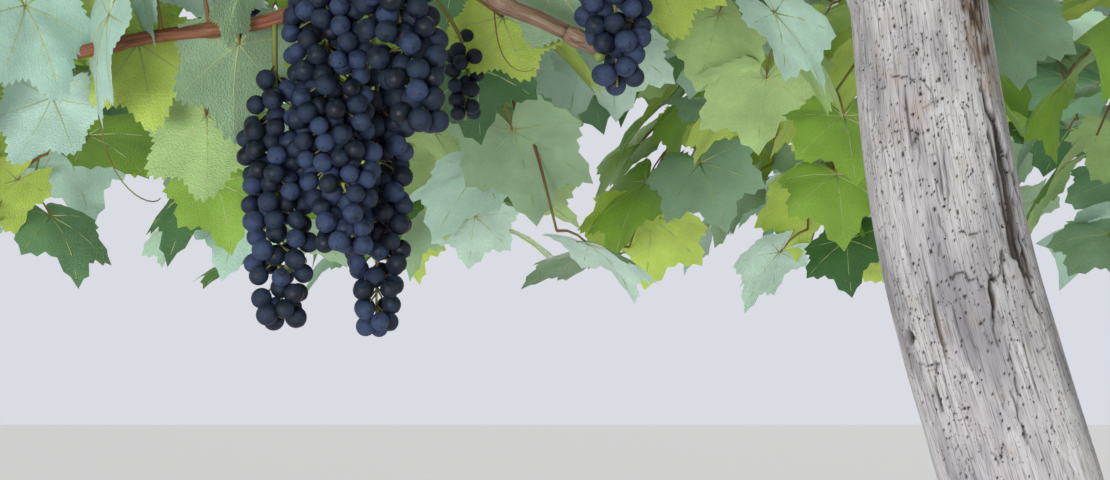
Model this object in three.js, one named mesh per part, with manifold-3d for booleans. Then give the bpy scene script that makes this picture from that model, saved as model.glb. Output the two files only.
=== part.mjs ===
// A grapevine trained overhead, in millimetres, +Z up. The origin is the middle of the flat cut at ground
// level. A leaning trunk carries four arms at head height. Canes leave the arms, and each cane or arm ends
// where a mass of shoots, leaves and grapes begins. One more mass stands on the head, and two hang under the
// left arm with the ripest bunches.
import * as THREE from "three";
import { mergeVertices } from "three/addons/utils/BufferGeometryUtils.js";
import Module from "manifold-3d";

const wasm = await Module();
wasm.setup();

const UP = new THREE.Vector3(0, 0, 1);
const GAP = 0.3; // clearance where one solid meets the next
const MERGE = 1e-3; // corners nearer than this are one corner

// Trunk: its leaning centreline from the foot to the head, and its radius at heights above the ground
const HEAD = new THREE.Vector3(-438, 0, 1900);
const TRUNK_LINE = [
  [0, 0, 0],
  [-42, 10, 300],
  [-122, 22, 700],
  [-206, 20, 1000],
  [-347, 6, 1436],
  [-400, 0, 1628],
  [-427, 0, 1820],
  [HEAD.x, HEAD.y, HEAD.z + 62],
];
const TRUNK_RADIUS = [
  [0, 112],
  [60, 92],
  [170, 77],
  [420, 68],
  [1000, 65],
  [1540, 63],
  [1820, 55],
  [1885, 69],
  [1935, 66],
  [1962, 44],
];
const TRUNK_SIDES = 14;
const TRUNK_RINGS = 16;
const TRUNK_ROOM = 66; // leaves keep this far from the trunk's centreline
const FLARE = { lobes: 5, depth: 0.13, height: 260 }; // root lobes that fade out up the trunk
const FOOT_LAY = 40; // ring corners lower than this are laid on the ground

// Arms: heading in degrees from +X, length, and rise over that length
const ARM = { sides: 8, rings: 5, radii: [33, 19], sag: 16 };
const ARMS = [
  { name: "arm_left", heading: 178, length: 860, rise: 70 },
  { name: "arm_front", heading: 262, length: 680, rise: 85 },
  { name: "arm_right", heading: 352, length: 800, rise: 75 },
  { name: "arm_back", heading: 92, length: 860, rise: 65 },
];

// Canes: two on each arm, one to each side
const CANE = { sides: 6, rings: 3, radii: [12, 8], rise: 55, turn: 66 };
const CANE_SEATS = [
  { along: 0.4, side: -1, length: 300 },
  { along: 0.64, side: 1, length: 420 },
];

// Growth rule of a leafy mass: a stem, shoots fanned round it, and a few that stand up
const SEEDS = [181, 122, 183, 224, 105, 166, 247, 128, 109, 130, 231, 252, 213]; // one for each mass
const ROOF = 2065; // height that the shoots level out at
const CROWN = { low: 1590, top: 2300, reach: 540, margin: 5 };
const FRONT = { edge: 150, low: 1835, slope: 0.165 }; // the crown's lower side rises from the front to here
const STEM = { length: 60, sides: 5, taper: 0.7 };
const HEAD_STEM = { length: 110, radius: 16 };
const SHOOT = {
  count: 7,
  risers: 2,
  fan: 270,
  steps: 3,
  step: 168,
  root: 5,
  tip: 3,
  wander: 0.3,
  level: 0.0024,
  droop: 0.62,
  lift: 0.15,
  start: 0.12,
  rise: 1.15,
  shake: 4,
  clear: 8,
};
// These masses hang lower than the rest: their shoots droop more, and the last ones hang down
const HEAVY = ["foliage_back", "foliage_back_1", "foliage_back_2", "foliage_left_1"];
const HEAVY_DROOP = 2;
const LEAF_SEATS = [0.22, 0.55, 0.88]; // along each step of a shoot
const LEAF = { size: 186, spread: 0.15, half: 1.5, apart: 101, clear: 17 };
const LEAF_POSE = { aside: 0.8, along: 0.25, alongSpread: 0.5, hang: 0.15, hangSpread: 0.75, roll: 0.45 };

// A leaf's outline in leaf widths: across, along and proud of the blade, from its stalk round to its stalk
const LEAF_OUTLINE = [
  [0, 0, 0],
  [0.34, 0.26, -0.06],
  [0.5, 0.68, -0.1],
  [0, 1.14, -0.18],
  [-0.5, 0.68, -0.1],
  [-0.34, 0.26, -0.06],
];
const LEAF_HEART = [0, 0.5, 0];
const LEAF_NOTCH = 0.24; // a leaf's stalk meets its blade this far along

// Bunches of grapes: columns are a multiple of three, so that the berries close round the bunch
const BUNCH = { columns: 6, rows: 6, length: 150, spread: 0.2, width: 78, berry: 0.15 };
const BUNCH_SHAPE = { shoulder: 2.2, start: 0.16, taper: 0.46, hollow: 2.1 };
const BUNCH_SHOOTS = [1, 5]; // which shoots of a mass carry one
const STALK = { radius: 2.6, length: 45, elbow: 0.6, heart: 0.16 };

// The box that the two masses under the left arm keep to, and that the crown leaves free
const HANGING_BOX = { low: [-1400, -215, 1535], high: [-590, 185, 1893] };
const BOX_MARGIN = 26;
const LONG_CANE = [
  [-840, 4, 1868],
  [-890, 2, 1842],
  [-945, 0, 1809],
  [-1050, -6, 1792],
  [-1165, -12, 1768],
  [-1290, -16, 1772],
];
const LONG_CANE_RADII = [6.5, 4];
const SPUR = { from: [-838, 22, 1952], radii: [12, 8], rings: 4 };
const STRAIGHT = 12; // the last two steps of a spur, which bring it square to what it meets
const RIGHT_CANE = [
  [-778, 24, 1955],
  [-799, -2, 1872],
  [-769, -8, 1824],
];
const RIGHT_CANE_RADII = [9, 6.5];
const RIGHT_CANE_RINGS = 7;
const RIGHT_STEM = [
  [-712, -8, 1796],
  [-698, -8, 1789],
  [-684, -6, 1783],
  [-660, 6, 1800],
  [-655, 14, 1872],
];
const RIGHT_STEM_RADII = [6.5, 3];
const RIPE = { columns: 9, row: 0.3, leastRows: 6 }; // a row's height is in bunch widths
// Each ripe bunch: the place on its cane that it hangs from, the top of its grapes, its size and its lean to
// the right
const RIPE_BUNCHES = [
  { on: [-948, 0, 1808], top: [-947, -8, 1776], length: 216, width: 64, lean: 6 },
  { on: [-900, 1, 1836], top: [-911, -26, 1866], length: 250, width: 72, lean: 24 },
  { on: [-880, 2, 1848], top: [-867, 34, 1790], length: 238, width: 60, lean: 0 },
  { on: [-866, 3, 1854], top: [-858, -66, 1868], length: 160, width: 68, lean: 34 },
  { on: [-856, 4, 1860], top: [-796, 78, 1808], length: 76, width: 38, lean: 0 },
];
const LONE_BUNCH = { on: [-655, 14, 1870], top: [-673, -12, 1852], length: 104, width: 62, lean: 2 };
// Each leaf near the ripe bunches: where its stalk ends, the way its tip points seen from the front, in
// degrees from +X, how far it is turned about its midrib from facing the front, how far its tip nods to the
// front, and its width
const HANGING_LEAVES = [
  { at: [-1141, -44, 1812], tip: -62, turn: -42, nod: -6, size: 112 },
  { at: [-1074, -46, 1804], tip: -112, turn: 62, nod: -14, size: 128 },
  { at: [-1061, 16, 1790], tip: -80, turn: 180, nod: -20, size: 100 },
  { at: [-979, 18, 1790], tip: -104, turn: 145, nod: -25, size: 110 },
  { at: [-1009, -30, 1850], tip: -85, turn: 15, nod: -45, size: 112 },
  { at: [-972, -44, 1818], tip: -118, turn: 118, nod: -10, size: 54 },
  { at: [-1045, -30, 1844], tip: -108, turn: 55, nod: -10, size: 84 },
  { at: [-1095, 14, 1836], tip: -85, turn: 182, nod: 0, size: 90 },
  { at: [-1141, 66, 1752], tip: -112, turn: 190, nod: 8, size: 96 },
  { at: [-1013, 74, 1738], tip: -85, turn: 186, nod: 6, size: 112 },
  { at: [-1232, -20, 1776], tip: -112, turn: 20, nod: -22, size: 128 },
  { at: [-765, 80, 1822], tip: -70, turn: 176, nod: 6, size: 92 },
];
const LEAF_STALK = { root: 2.6, tip: 1.6, seats: 24 };
const RIGHT_LEAVES = [
  { at: [-722, 74, 1850], tip: -58, turn: 170, nod: 10, size: 104 },
  { at: [-640, 48, 1868], tip: -28, turn: 160, nod: -46, size: 118 },
];

const BARK = { color: 0xb3aaa4, roughness: 0.93 };
const OLD_WOOD = { color: 0x6a5b4d, roughness: 0.95 };
const CANE_WOOD = { color: 0x8a4f2c, roughness: 0.7 };
const FOLIAGE = { color: 0x7fa265, roughness: 0.6 };
const SHOOT_GREEN = { color: 0x9cc3a4, roughness: 0.6 };

function vector([x, y, z]) {
  return new THREE.Vector3(x, y, z);
}

// Repeatable random numbers from 0 to 1
function makeRandom(seed) {
  let state = seed >>> 0;
  return () => {
    state = (Math.imul(state, 1664525) + 1013904223) >>> 0;
    return state / 2 ** 32;
  };
}

function spreadOf(random, most) {
  return (2 * random() - 1) * most;
}

// A three.js geometry as a closed solid that can be joined and cut
function solid(geometry) {
  const bare = geometry.clone();
  bare.deleteAttribute("normal");
  bare.deleteAttribute("uv");
  const merged = mergeVertices(bare, MERGE);
  return new wasm.Manifold(
    new wasm.Mesh({
      numProp: 3,
      vertProperties: new Float32Array(merged.attributes.position.array),
      triVerts: new Uint32Array(merged.index.array),
    }),
  );
}

// The largest closed body of a solid, with loose scraps and sealed hollows left out
function mainBody(made) {
  const bodies = made.decompose();
  return bodies.reduce((best, body) => (body.volume() > best.volume() ? body : best));
}

function namedMesh(name, made, look) {
  const { vertProperties, triVerts, numVert, numProp } = made.getMesh();
  const places = new Float32Array(numVert * 3);
  for (let i = 0; i < numVert; i++) {
    places.set(vertProperties.subarray(i * numProp, i * numProp + 3), i * 3);
  }
  const geometry = new THREE.BufferGeometry();
  geometry.setAttribute("position", new THREE.BufferAttribute(places, 3));
  geometry.setIndex(new THREE.BufferAttribute(new Uint32Array(triVerts), 1));
  geometry.computeVertexNormals();
  const material = new THREE.MeshStandardMaterial({ ...look, metalness: 0 });
  const mesh = new THREE.Mesh(geometry, material);
  mesh.name = name;
  return mesh;
}

// Straight-line reading of a table of [place, value] pairs
function reading(table, place) {
  const after = table.findIndex(([at]) => at >= place);
  if (after <= 0) return table[after < 0 ? table.length - 1 : 0][1];
  const [[a, from], [b, to]] = [table[after - 1], table[after]];
  return from + ((to - from) * (place - a)) / (b - a);
}

// A tapering limb: an upright cylinder whose rings are carried onto a curve
function limbGeometry(curve, radiusAt, sides, rings) {
  const geometry = new THREE.CylinderGeometry(1, 1, 1, sides, rings);
  const frames = curve.computeFrenetFrames(rings, false);
  const places = geometry.attributes.position;
  for (let i = 0; i < places.count; i++) {
    const ring = Math.round((places.getY(i) + 0.5) * rings);
    const centre = curve.getPointAt(ring / rings);
    const onAxis = Math.hypot(places.getX(i), places.getZ(i)) < 0.5;
    const angle = Math.atan2(places.getZ(i), places.getX(i));
    const radius = onAxis ? 0 : radiusAt(ring / rings, centre, angle);
    centre.addScaledVector(frames.binormals[ring], radius * Math.cos(angle));
    centre.addScaledVector(frames.normals[ring], radius * Math.sin(angle));
    places.setXYZ(i, centre.x, centre.y, centre.z);
  }
  return geometry;
}

function taperedLimb(curve, [root, tip], sides, rings, extra = 0) {
  return solid(limbGeometry(curve, (along) => root + (tip - root) * along + extra, sides, rings));
}

function trunkSolid(extra = 0) {
  const curve = new THREE.CatmullRomCurve3(TRUNK_LINE.map(vector));
  const radiusAt = (along, centre, angle) => {
    const fade = Math.max(0, 1 - centre.z / FLARE.height) ** 2;
    const flare = 1 + FLARE.depth * fade * Math.cos(FLARE.lobes * angle);
    return reading(TRUNK_RADIUS, centre.z) * flare + extra;
  };
  const geometry = limbGeometry(curve, radiusAt, TRUNK_SIDES, TRUNK_RINGS);
  const places = geometry.attributes.position;
  for (let i = 0; i < places.count; i++) {
    if (places.getZ(i) < FOOT_LAY) places.setZ(i, 0);
  }
  return solid(geometry);
}

// Limbs, each with its centreline kept so that leaves can stay clear of it
const limbs = [];

function addLimb(name, curve, radii, sides, rings, parent, look) {
  const made = taperedLimb(curve, radii, sides, rings);
  const limb = { name, curve, radii, sides, rings, look };
  limb.solid = mainBody(made.subtract(parent));
  limbs.push(limb);
  return limb;
}

function wideLimb({ curve, radii, sides, rings }) {
  return taperedLimb(curve, radii, sides, rings, GAP);
}

function armCurve({ heading, length, rise }) {
  const away = new THREE.Vector3(1, 0, 0).applyAxisAngle(UP, THREE.MathUtils.degToRad(heading));
  const aside = new THREE.Vector3(-away.y, away.x, 0);
  const point = (along, up, off) =>
    HEAD.clone().addScaledVector(away, length * along).addScaledVector(aside, off).addScaledVector(UP, up);
  return new THREE.CatmullRomCurve3([
    point(0, -12, 0),
    point(0.25, rise * 0.6, ARM.sag),
    point(0.6, rise * 0.95, -ARM.sag),
    point(1, rise, 0),
  ]);
}

function caneCurve(arm, seat) {
  const start = arm.curve.getPointAt(seat.along);
  const away = arm.curve.getTangentAt(seat.along).setZ(0).normalize();
  away.applyAxisAngle(UP, THREE.MathUtils.degToRad(seat.side * CANE.turn));
  const middle = start.clone().addScaledVector(away, seat.length * 0.5).addScaledVector(UP, CANE.rise * 0.75);
  const end = start.clone().addScaledVector(away, seat.length).addScaledVector(UP, CANE.rise);
  return new THREE.CatmullRomCurve3([start, middle, end]);
}

// Masses: where each starts and the space that it keeps to
function massAt(name, start, heading, forward, length, radius) {
  const centre = start.clone().addScaledVector(heading, length);
  return { name, start, heading, forward, centre, radius };
}

function massOn(limb) {
  const heading = limb.curve.getTangentAt(1);
  const start = limb.curve.getPointAt(1).addScaledVector(heading, GAP);
  const forward = heading.clone().setZ(0).normalize();
  const name = limb.name.replace(/arm|cane/, "foliage");
  return massAt(name, start, heading, forward, STEM.length, limb.radii[1]);
}

function insideBox(point, box, margin) {
  return ["x", "y", "z"].every(
    (axis, i) => point[axis] > box.low[i] - margin && point[axis] < box.high[i] + margin,
  );
}

function flatDistance(a, b) {
  return Math.hypot(a.x - b.x, a.y - b.y);
}

// True where a point of the crown is nearer to this mass than to any other, and within its reach
function ownsPoint(mass, others, point) {
  const low = point.y < FRONT.edge ? FRONT.low + FRONT.slope * point.y : CROWN.low;
  if (point.z < low || point.z > CROWN.top) return false;
  if (insideBox(point, HANGING_BOX, BOX_MARGIN)) return false;
  if (flatDistance(point, mass.centre) > CROWN.reach) return false;
  return others.every((other) => {
    const span = flatDistance(mass.centre, other.centre);
    const lead = flatDistance(point, other.centre) ** 2 - flatDistance(point, mass.centre) ** 2;
    return other === mass || lead / (2 * span) > CROWN.margin;
  });
}

// Centrelines of the limbs as points, for keeping shoots and leaves clear of the bark
const LIMB_SAMPLES = 24;
const TRUNK_SAMPLES = 80;
const barkLines = [];

function clearOfLimbs(point, room) {
  return barkLines.every(({ points, radius }) =>
    points.every((sample) => sample.distanceTo(point) > radius + room),
  );
}

function nextStep(random, from, direction, share, rises, droop) {
  direction.applyAxisAngle(UP, spreadOf(random, SHOOT.wander));
  const level = rises ? 0 : (ROOF - from.z) * SHOOT.level;
  direction.z += level - SHOOT.droop * droop * share * share + spreadOf(random, SHOOT.lift);
  direction.normalize();
  return from.clone().addScaledVector(direction, SHOOT.step);
}

// The points of a shoot, up to the first that leaves the mass's space or comes too near a limb
function shootLine(random, mass, others, heading, rises) {
  const droop = HEAVY.includes(mass.name) ? HEAVY_DROOP : 1;
  const direction = heading.clone();
  const line = [mass.centre.clone()];
  let growing = true;
  for (let i = 0; i < SHOOT.steps; i++) {
    const from = line[line.length - 1];
    const next = nextStep(random, from, direction, (i + 1) / SHOOT.steps, rises, droop);
    const middle = from.clone().lerp(next, 0.5);
    const free = clearOfLimbs(next, SHOOT.clear) && clearOfLimbs(middle, SHOOT.clear);
    growing = growing && free && ownsPoint(mass, others, next);
    if (growing) line.push(next);
  }
  return line;
}

function shootHeadings(random, mass) {
  const total = SHOOT.count + SHOOT.risers;
  const rise = HEAVY.includes(mass.name) ? -SHOOT.rise : SHOOT.rise;
  return Array.from({ length: total }, (_, i) => {
    const rises = i >= SHOOT.count;
    const place = rises ? (i - SHOOT.count + 0.5) / SHOOT.risers : (i + 0.5) / SHOOT.count;
    const turn = SHOOT.fan * (place - 0.5) + spreadOf(random, SHOOT.shake);
    const heading = mass.forward.clone().applyAxisAngle(UP, THREE.MathUtils.degToRad(turn));
    heading.z = rises ? rise : SHOOT.start;
    return { heading: heading.normalize(), rises };
  });
}

// Where a leaf sits: its seat, the way its tip points, and the way its upper face looks
function leafFrame(random, seat, along, side) {
  const tip = new THREE.Vector3(-along.y, along.x, 0).normalize().multiplyScalar(side * LEAF_POSE.aside);
  tip.addScaledVector(along, LEAF_POSE.along + LEAF_POSE.alongSpread * random());
  tip.z = -LEAF_POSE.hang - LEAF_POSE.hangSpread * random();
  tip.normalize();
  const face = UP.clone().addScaledVector(tip, -UP.dot(tip)).normalize();
  face.applyAxisAngle(tip, spreadOf(random, LEAF_POSE.roll));
  const size = LEAF.size * (1 + spreadOf(random, LEAF.spread));
  return { seat, tip, face, size };
}

function leafHeart({ seat, tip, size }) {
  return seat.clone().addScaledVector(tip, size * LEAF_HEART[1]);
}

// Leaves to alternate sides along a shoot
function leafFrames(random, line) {
  const frames = [];
  for (let i = 0; i + 1 < line.length; i++) {
    const along = line[i + 1].clone().sub(line[i]).normalize();
    for (const share of LEAF_SEATS) {
      const side = frames.length % 2 ? 1 : -1;
      frames.push(leafFrame(random, line[i].clone().lerp(line[i + 1], share), along, side));
    }
  }
  return frames;
}

// A leaf is a thin double pyramid on its outline: the ring of a two-step sphere becomes the leaf's edge
function leafGeometry({ seat, tip, face, size }) {
  const corners = LEAF_OUTLINE.length;
  const across = new THREE.Vector3().crossVectors(tip, face);
  const geometry = new THREE.SphereGeometry(1, corners, 2);
  const places = geometry.attributes.position;
  for (let i = 0; i < places.count; i++) {
    const row = Math.floor(i / (corners + 1));
    const [a, l, n] = row === 1 ? LEAF_OUTLINE[i % (corners + 1) % corners] : LEAF_HEART;
    const proud = size * n + LEAF.half * (1 - row);
    const point = seat.clone().addScaledVector(across, size * a);
    point.addScaledVector(tip, size * l).addScaledVector(face, proud);
    places.setXYZ(i, point.x, point.y, point.z);
  }
  return geometry;
}

// Points spread over a geometry's faces
function facePoints(geometry) {
  const bare = geometry.toNonIndexed().attributes.position;
  const corners = [];
  for (let i = 0; i < bare.count; i++) corners.push(new THREE.Vector3().fromBufferAttribute(bare, i));
  const samples = [...corners];
  for (let i = 0; i < corners.length; i += 3) {
    const [a, b, c] = corners.slice(i, i + 3);
    samples.push(a.clone().lerp(b, 0.5), b.clone().lerp(c, 0.5), c.clone().lerp(a, 0.5));
    samples.push(a.clone().add(b).add(c).divideScalar(3));
  }
  return samples;
}

// A bunch: a sphere's grid laid on a hanging cone with round shoulders, where every third point stands out as
// a berry
function bunchGeometry({ top, length, width, lean, columns, rows }) {
  const geometry = new THREE.SphereGeometry(1, columns, rows);
  const places = geometry.attributes.position;
  for (let i = 0; i < places.count; i++) {
    const row = Math.floor(i / (columns + 1));
    const column = i % (columns + 1);
    const down = row / rows;
    const atPole = row === 0 || row === rows;
    const shoulder = Math.sin(0.5 * Math.PI * Math.min(1, down * BUNCH_SHAPE.shoulder + BUNCH_SHAPE.start));
    const shape = shoulder * (1 - BUNCH_SHAPE.taper * down ** BUNCH_SHAPE.hollow);
    const proud = (column + row) % 3 === 0 ? BUNCH.berry : -BUNCH.berry;
    const radius = atPole ? 0 : 0.5 * width * shape * (1 + proud);
    const angle = (2 * Math.PI * (column - row / 2)) / columns;
    const x = top.x - radius * Math.cos(angle) + lean * down;
    places.setXYZ(i, x, top.y - radius * Math.sin(angle), top.z - length * down);
  }
  return geometry;
}

function twigSolid(points, root, tip, sides = 3) {
  const curve = new THREE.CatmullRomCurve3(points);
  return taperedLimb(curve, [root, tip], sides, Math.max(1, points.length - 1));
}

// A bunch with its stalk, which runs from inside the twig to inside the grapes
function bunchSolids(bunch, from) {
  const heart = bunch.top.clone().addScaledVector(UP, -STALK.heart * bunch.length);
  const elbow = from.clone().lerp(bunch.top, STALK.elbow).addScaledVector(UP, STALK.radius);
  return [solid(bunchGeometry(bunch)), twigSolid([from, elbow, heart], STALK.radius, STALK.radius)];
}

// A mass of the crown: stem, shoots, leaves and bunches, fused
function crownMass(mass, others, seed) {
  const random = makeRandom(seed);
  const stemEnd = mass.centre.clone().addScaledVector(mass.heading, SHOOT.root * 2);
  const stemRadii = [mass.radius, mass.radius * STEM.taper];
  const pieces = [twigSolid([mass.start, mass.centre, stemEnd], ...stemRadii, STEM.sides)];
  const fits = (geometry) =>
    facePoints(geometry).every((point) => ownsPoint(mass, others, point) && clearOfLimbs(point, LEAF.clear));
  const hearts = [];
  shootHeadings(random, mass).forEach(({ heading, rises }, i) => {
    const line = shootLine(random, mass, others, heading, rises);
    if (line.length < 2) return;
    pieces.push(twigSolid(line, SHOOT.root, SHOOT.tip));
    for (const frame of leafFrames(random, line)) {
      const geometry = leafGeometry(frame);
      const heart = leafHeart(frame);
      const crowded = hearts.some((other) => other.distanceTo(heart) < LEAF.apart);
      if (crowded || !fits(geometry)) continue;
      hearts.push(heart);
      pieces.push(solid(geometry));
    }
    if (BUNCH_SHOOTS.includes(i) && line.length > 2) {
      const top = line[1].clone().addScaledVector(UP, -STALK.length);
      const bunch = { ...BUNCH, top, length: BUNCH.length * (1 + spreadOf(random, BUNCH.spread)), lean: 0 };
      if (fits(bunchGeometry(bunch))) pieces.push(...bunchSolids(bunch, line[1]));
    }
  });
  return mainBody(wasm.Manifold.union(pieces));
}

// A leaf near the ripe bunches, described by how it is seen from the front
function shownLeafFrame({ at, tip, turn, nod, size }) {
  const lean = THREE.MathUtils.degToRad(nod);
  const swing = THREE.MathUtils.degToRad(tip);
  const along = new THREE.Vector3(Math.cos(swing), -Math.tan(lean), Math.sin(swing)).normalize();
  const front = new THREE.Vector3(0, -1, 0);
  const face = front.addScaledVector(along, -front.dot(along)).normalize();
  face.applyAxisAngle(along, THREE.MathUtils.degToRad(turn));
  return { seat: vector(at).addScaledVector(along, -LEAF_NOTCH * size), tip: along, face, size };
}

// A stalk from the nearest point of a cane, but not its first, to a leaf's notch and on into the blade
function leafStalk(curve, frame) {
  const notch = frame.seat.clone().addScaledVector(frame.tip, LEAF_NOTCH * frame.size);
  const points = curve.getSpacedPoints(LEAF_STALK.seats).slice(1);
  const nearer = (a, b) => (b.distanceTo(notch) < a.distanceTo(notch) ? b : a);
  return twigSolid([points.reduce(nearer), notch, leafHeart(frame)], LEAF_STALK.root, LEAF_STALK.tip);
}

// A hanging mass: a woody cane with its bunches and leaves
function hangingMass(curve, radii, bunches, leaves) {
  const pieces = [taperedLimb(curve, radii, CANE.sides, curve.points.length * 2)];
  for (const bunch of bunches) {
    const shape = { ...bunch, top: vector(bunch.top), columns: RIPE.columns };
    shape.rows = Math.max(RIPE.leastRows, Math.round(bunch.length / (bunch.width * RIPE.row)));
    pieces.push(...bunchSolids(shape, vector(bunch.on)));
  }
  for (const leaf of leaves) {
    const frame = shownLeafFrame(leaf);
    pieces.push(solid(leafGeometry(frame)), leafStalk(curve, frame));
  }
  return mainBody(wasm.Manifold.union(pieces));
}

const vine = new THREE.Group();
vine.add(namedMesh("trunk", trunkSolid(), BARK));

const wideTrunk = trunkSolid(GAP);
const arms = ARMS.map((arm) =>
  addLimb(arm.name, armCurve(arm), ARM.radii, ARM.sides, ARM.rings, wideTrunk, OLD_WOOD),
);
const canes = arms.flatMap((arm) => {
  const parent = wideLimb(arm);
  return CANE_SEATS.map((seat, i) => {
    const name = arm.name.replace("arm", "cane") + "_" + (i + 1);
    return addLimb(name, caneCurve(arm, seat), CANE.radii, CANE.sides, CANE.rings, parent, CANE_WOOD);
  });
});

// The spur and the cane under the left arm, which end square to the stems of the hanging masses
function curveTo(points, stem) {
  const end = [2, 1, 0].map((steps) =>
    stem.getPointAt(0).addScaledVector(stem.getTangentAt(0), -steps * STRAIGHT - GAP),
  );
  return new THREE.CatmullRomCurve3([...points.map(vector), ...end]);
}

const longCane = new THREE.CatmullRomCurve3(LONG_CANE.map(vector));
const rightStem = new THREE.CatmullRomCurve3(RIGHT_STEM.map(vector));
const spurCurve = curveTo([SPUR.from], longCane);
const rightCurve = curveTo(RIGHT_CANE, rightStem);
const wideLeft = wideLimb(arms[0]);
addLimb("spur_left", spurCurve, SPUR.radii, CANE.sides, SPUR.rings, wideLeft, CANE_WOOD);
const rightRings = RIGHT_CANE_RINGS;
addLimb("cane_hanging_right", rightCurve, RIGHT_CANE_RADII, CANE.sides, rightRings, wideLeft, CANE_WOOD);

for (const limb of limbs) {
  barkLines.push({ points: limb.curve.getSpacedPoints(LIMB_SAMPLES), radius: limb.radii[0] });
  vine.add(namedMesh(limb.name, limb.solid, limb.look));
}
const trunkLine = new THREE.CatmullRomCurve3(TRUNK_LINE.map(vector));
barkLines.push({ points: trunkLine.getSpacedPoints(TRUNK_SAMPLES), radius: TRUNK_ROOM });

const headUp = trunkLine.getTangentAt(1);
const headTop = trunkLine.getPointAt(1).addScaledVector(headUp, GAP);
const crown = [...arms, ...canes].map(massOn);
const right = new THREE.Vector3(1, 0, 0);
crown.push(massAt("foliage_head", headTop, headUp, right, HEAD_STEM.length, HEAD_STEM.radius));
crown.forEach((mass, i) => {
  const look = i % 3 === 0 ? SHOOT_GREEN : FOLIAGE;
  vine.add(namedMesh(mass.name, crownMass(mass, crown, SEEDS[i]), look));
});

const hangingLeft = hangingMass(longCane, LONG_CANE_RADII, RIPE_BUNCHES, HANGING_LEAVES);
vine.add(namedMesh("hanging_shoot_left", hangingLeft, FOLIAGE));
const hangingRight = hangingMass(rightStem, RIGHT_STEM_RADII, [LONE_BUNCH], RIGHT_LEAVES);
vine.add(namedMesh("hanging_shoot_right", hangingRight, FOLIAGE));

export default vine;
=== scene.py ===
"""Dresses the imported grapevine: weathered trunk, shaggy arms, red-brown canes, leaves, grapes and tendrils.

Sizes are in millimetres, as in the part's source, and become metres where a mesh is made. Shoots and leaves
follow the source's growth rule, written again here, and go on to finer twigs inside the same reach.
"""

import math

import bmesh
import bpy
import numpy as np
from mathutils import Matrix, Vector, noise


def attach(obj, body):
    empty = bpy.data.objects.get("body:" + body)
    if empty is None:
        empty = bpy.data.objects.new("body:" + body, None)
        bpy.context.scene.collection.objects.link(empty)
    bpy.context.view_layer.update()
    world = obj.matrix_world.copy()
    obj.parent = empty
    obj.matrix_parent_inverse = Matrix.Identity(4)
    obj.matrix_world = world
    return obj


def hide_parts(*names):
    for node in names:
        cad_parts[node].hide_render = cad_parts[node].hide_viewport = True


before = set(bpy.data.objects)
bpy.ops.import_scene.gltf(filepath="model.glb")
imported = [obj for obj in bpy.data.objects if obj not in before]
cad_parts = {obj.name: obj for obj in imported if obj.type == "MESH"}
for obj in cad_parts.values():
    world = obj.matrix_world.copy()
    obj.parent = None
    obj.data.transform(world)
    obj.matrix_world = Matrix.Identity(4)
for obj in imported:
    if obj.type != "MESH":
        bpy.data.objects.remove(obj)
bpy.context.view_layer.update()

MM = 0.001
UP = np.array((0.0, 0.0, 1.0))
FRONT_WAY = np.array((0.0, -1.0, 0.0))

# Photograph: its camera, worked out from the size of the grapes and the height of the horizon
CAMERA = {"place": (-0.721, -2.0, 1.5), "pitch": 3.68, "lens": 50, "sensor": 22.3}

# Trunk: centreline, and radius at heights above the ground
HEAD = np.array((-438.0, 0.0, 1900.0))
TRUNK_LINE = [
    (0, 0, 0), (-42, 10, 300), (-122, 22, 700), (-206, 20, 1000),
    (-347, 6, 1436), (-400, 0, 1628), (-427, 0, 1820), (-438, 0, 1962),
]
TRUNK_RADIUS = [
    (0, 112), (60, 92), (170, 77), (420, 68), (1000, 65),
    (1540, 63), (1820, 55), (1885, 69), (1935, 66), (1962, 44),
]
TRUNK_ROOM = 66
FLARE = {"lobes": 5, "depth": 0.13, "height": 260}

# Arms, and the two canes on each of them
ARM_RADII = (33, 19)
ARM_SAG = 16
ARM_SEAT = -12  # where an arm starts, against the height of the head
ARMS = {
    "arm_left": {"heading": 178, "length": 860, "rise": 70},
    "arm_front": {"heading": 262, "length": 680, "rise": 85},
    "arm_right": {"heading": 352, "length": 800, "rise": 75},
    "arm_back": {"heading": 92, "length": 860, "rise": 65},
}
CANE = {"radii": (12, 8), "rise": 55, "turn": 66}
CANE_SEATS = [(0.4, -1, 300), (0.64, 1, 420)]  # share of the arm, side, length

# Growth rule of a mass, as in the source
GAP = 0.3  # between a limb's end and the stem that grows on from it
MASS_SEEDS = [181, 122, 183, 224, 105, 166, 247, 128, 109, 130, 231, 252, 213]
ROOF = 2065
CROWN = {"low": 1590, "top": 2300, "reach": 540, "margin": 5}
FRONT = {"edge": 150, "low": 1835, "slope": 0.165}
STEM_LENGTH = 60
HEAD_STEM = {"length": 110, "radius": 16}
STEM_TAPER = np.array((1.0, 0.85, 0.6))
STEM_SUNK, STEM_PAST = 4, 12  # how far a stem starts inside its limb, and how far it goes on past the middle
SHOOT = {
    "count": 7, "risers": 2, "fan": 270, "steps": 3, "step": 168, "root": 5, "tip": 3, "wander": 0.3,
    "level": 0.0024, "droop": 0.62, "lift": 0.15, "start": 0.12, "rise": 1.15, "shake": 4, "clear": 8,
}
# Masses whose shoots droop more than the others'
HEAVY = ("foliage_back", "foliage_back_1", "foliage_back_2", "foliage_left_1")
HEAVY_DROOP = 2
LEAF_SEATS = (0.22, 0.55, 0.88)
LEAF = {"size": 186, "spread": 0.15, "apart": 101, "clear": 17}
LEAF_POSE = {
    "aside": 0.8, "along": 0.25, "along_spread": 0.5, "hang": 0.15, "hang_spread": 0.75, "roll": 0.45,
}
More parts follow.
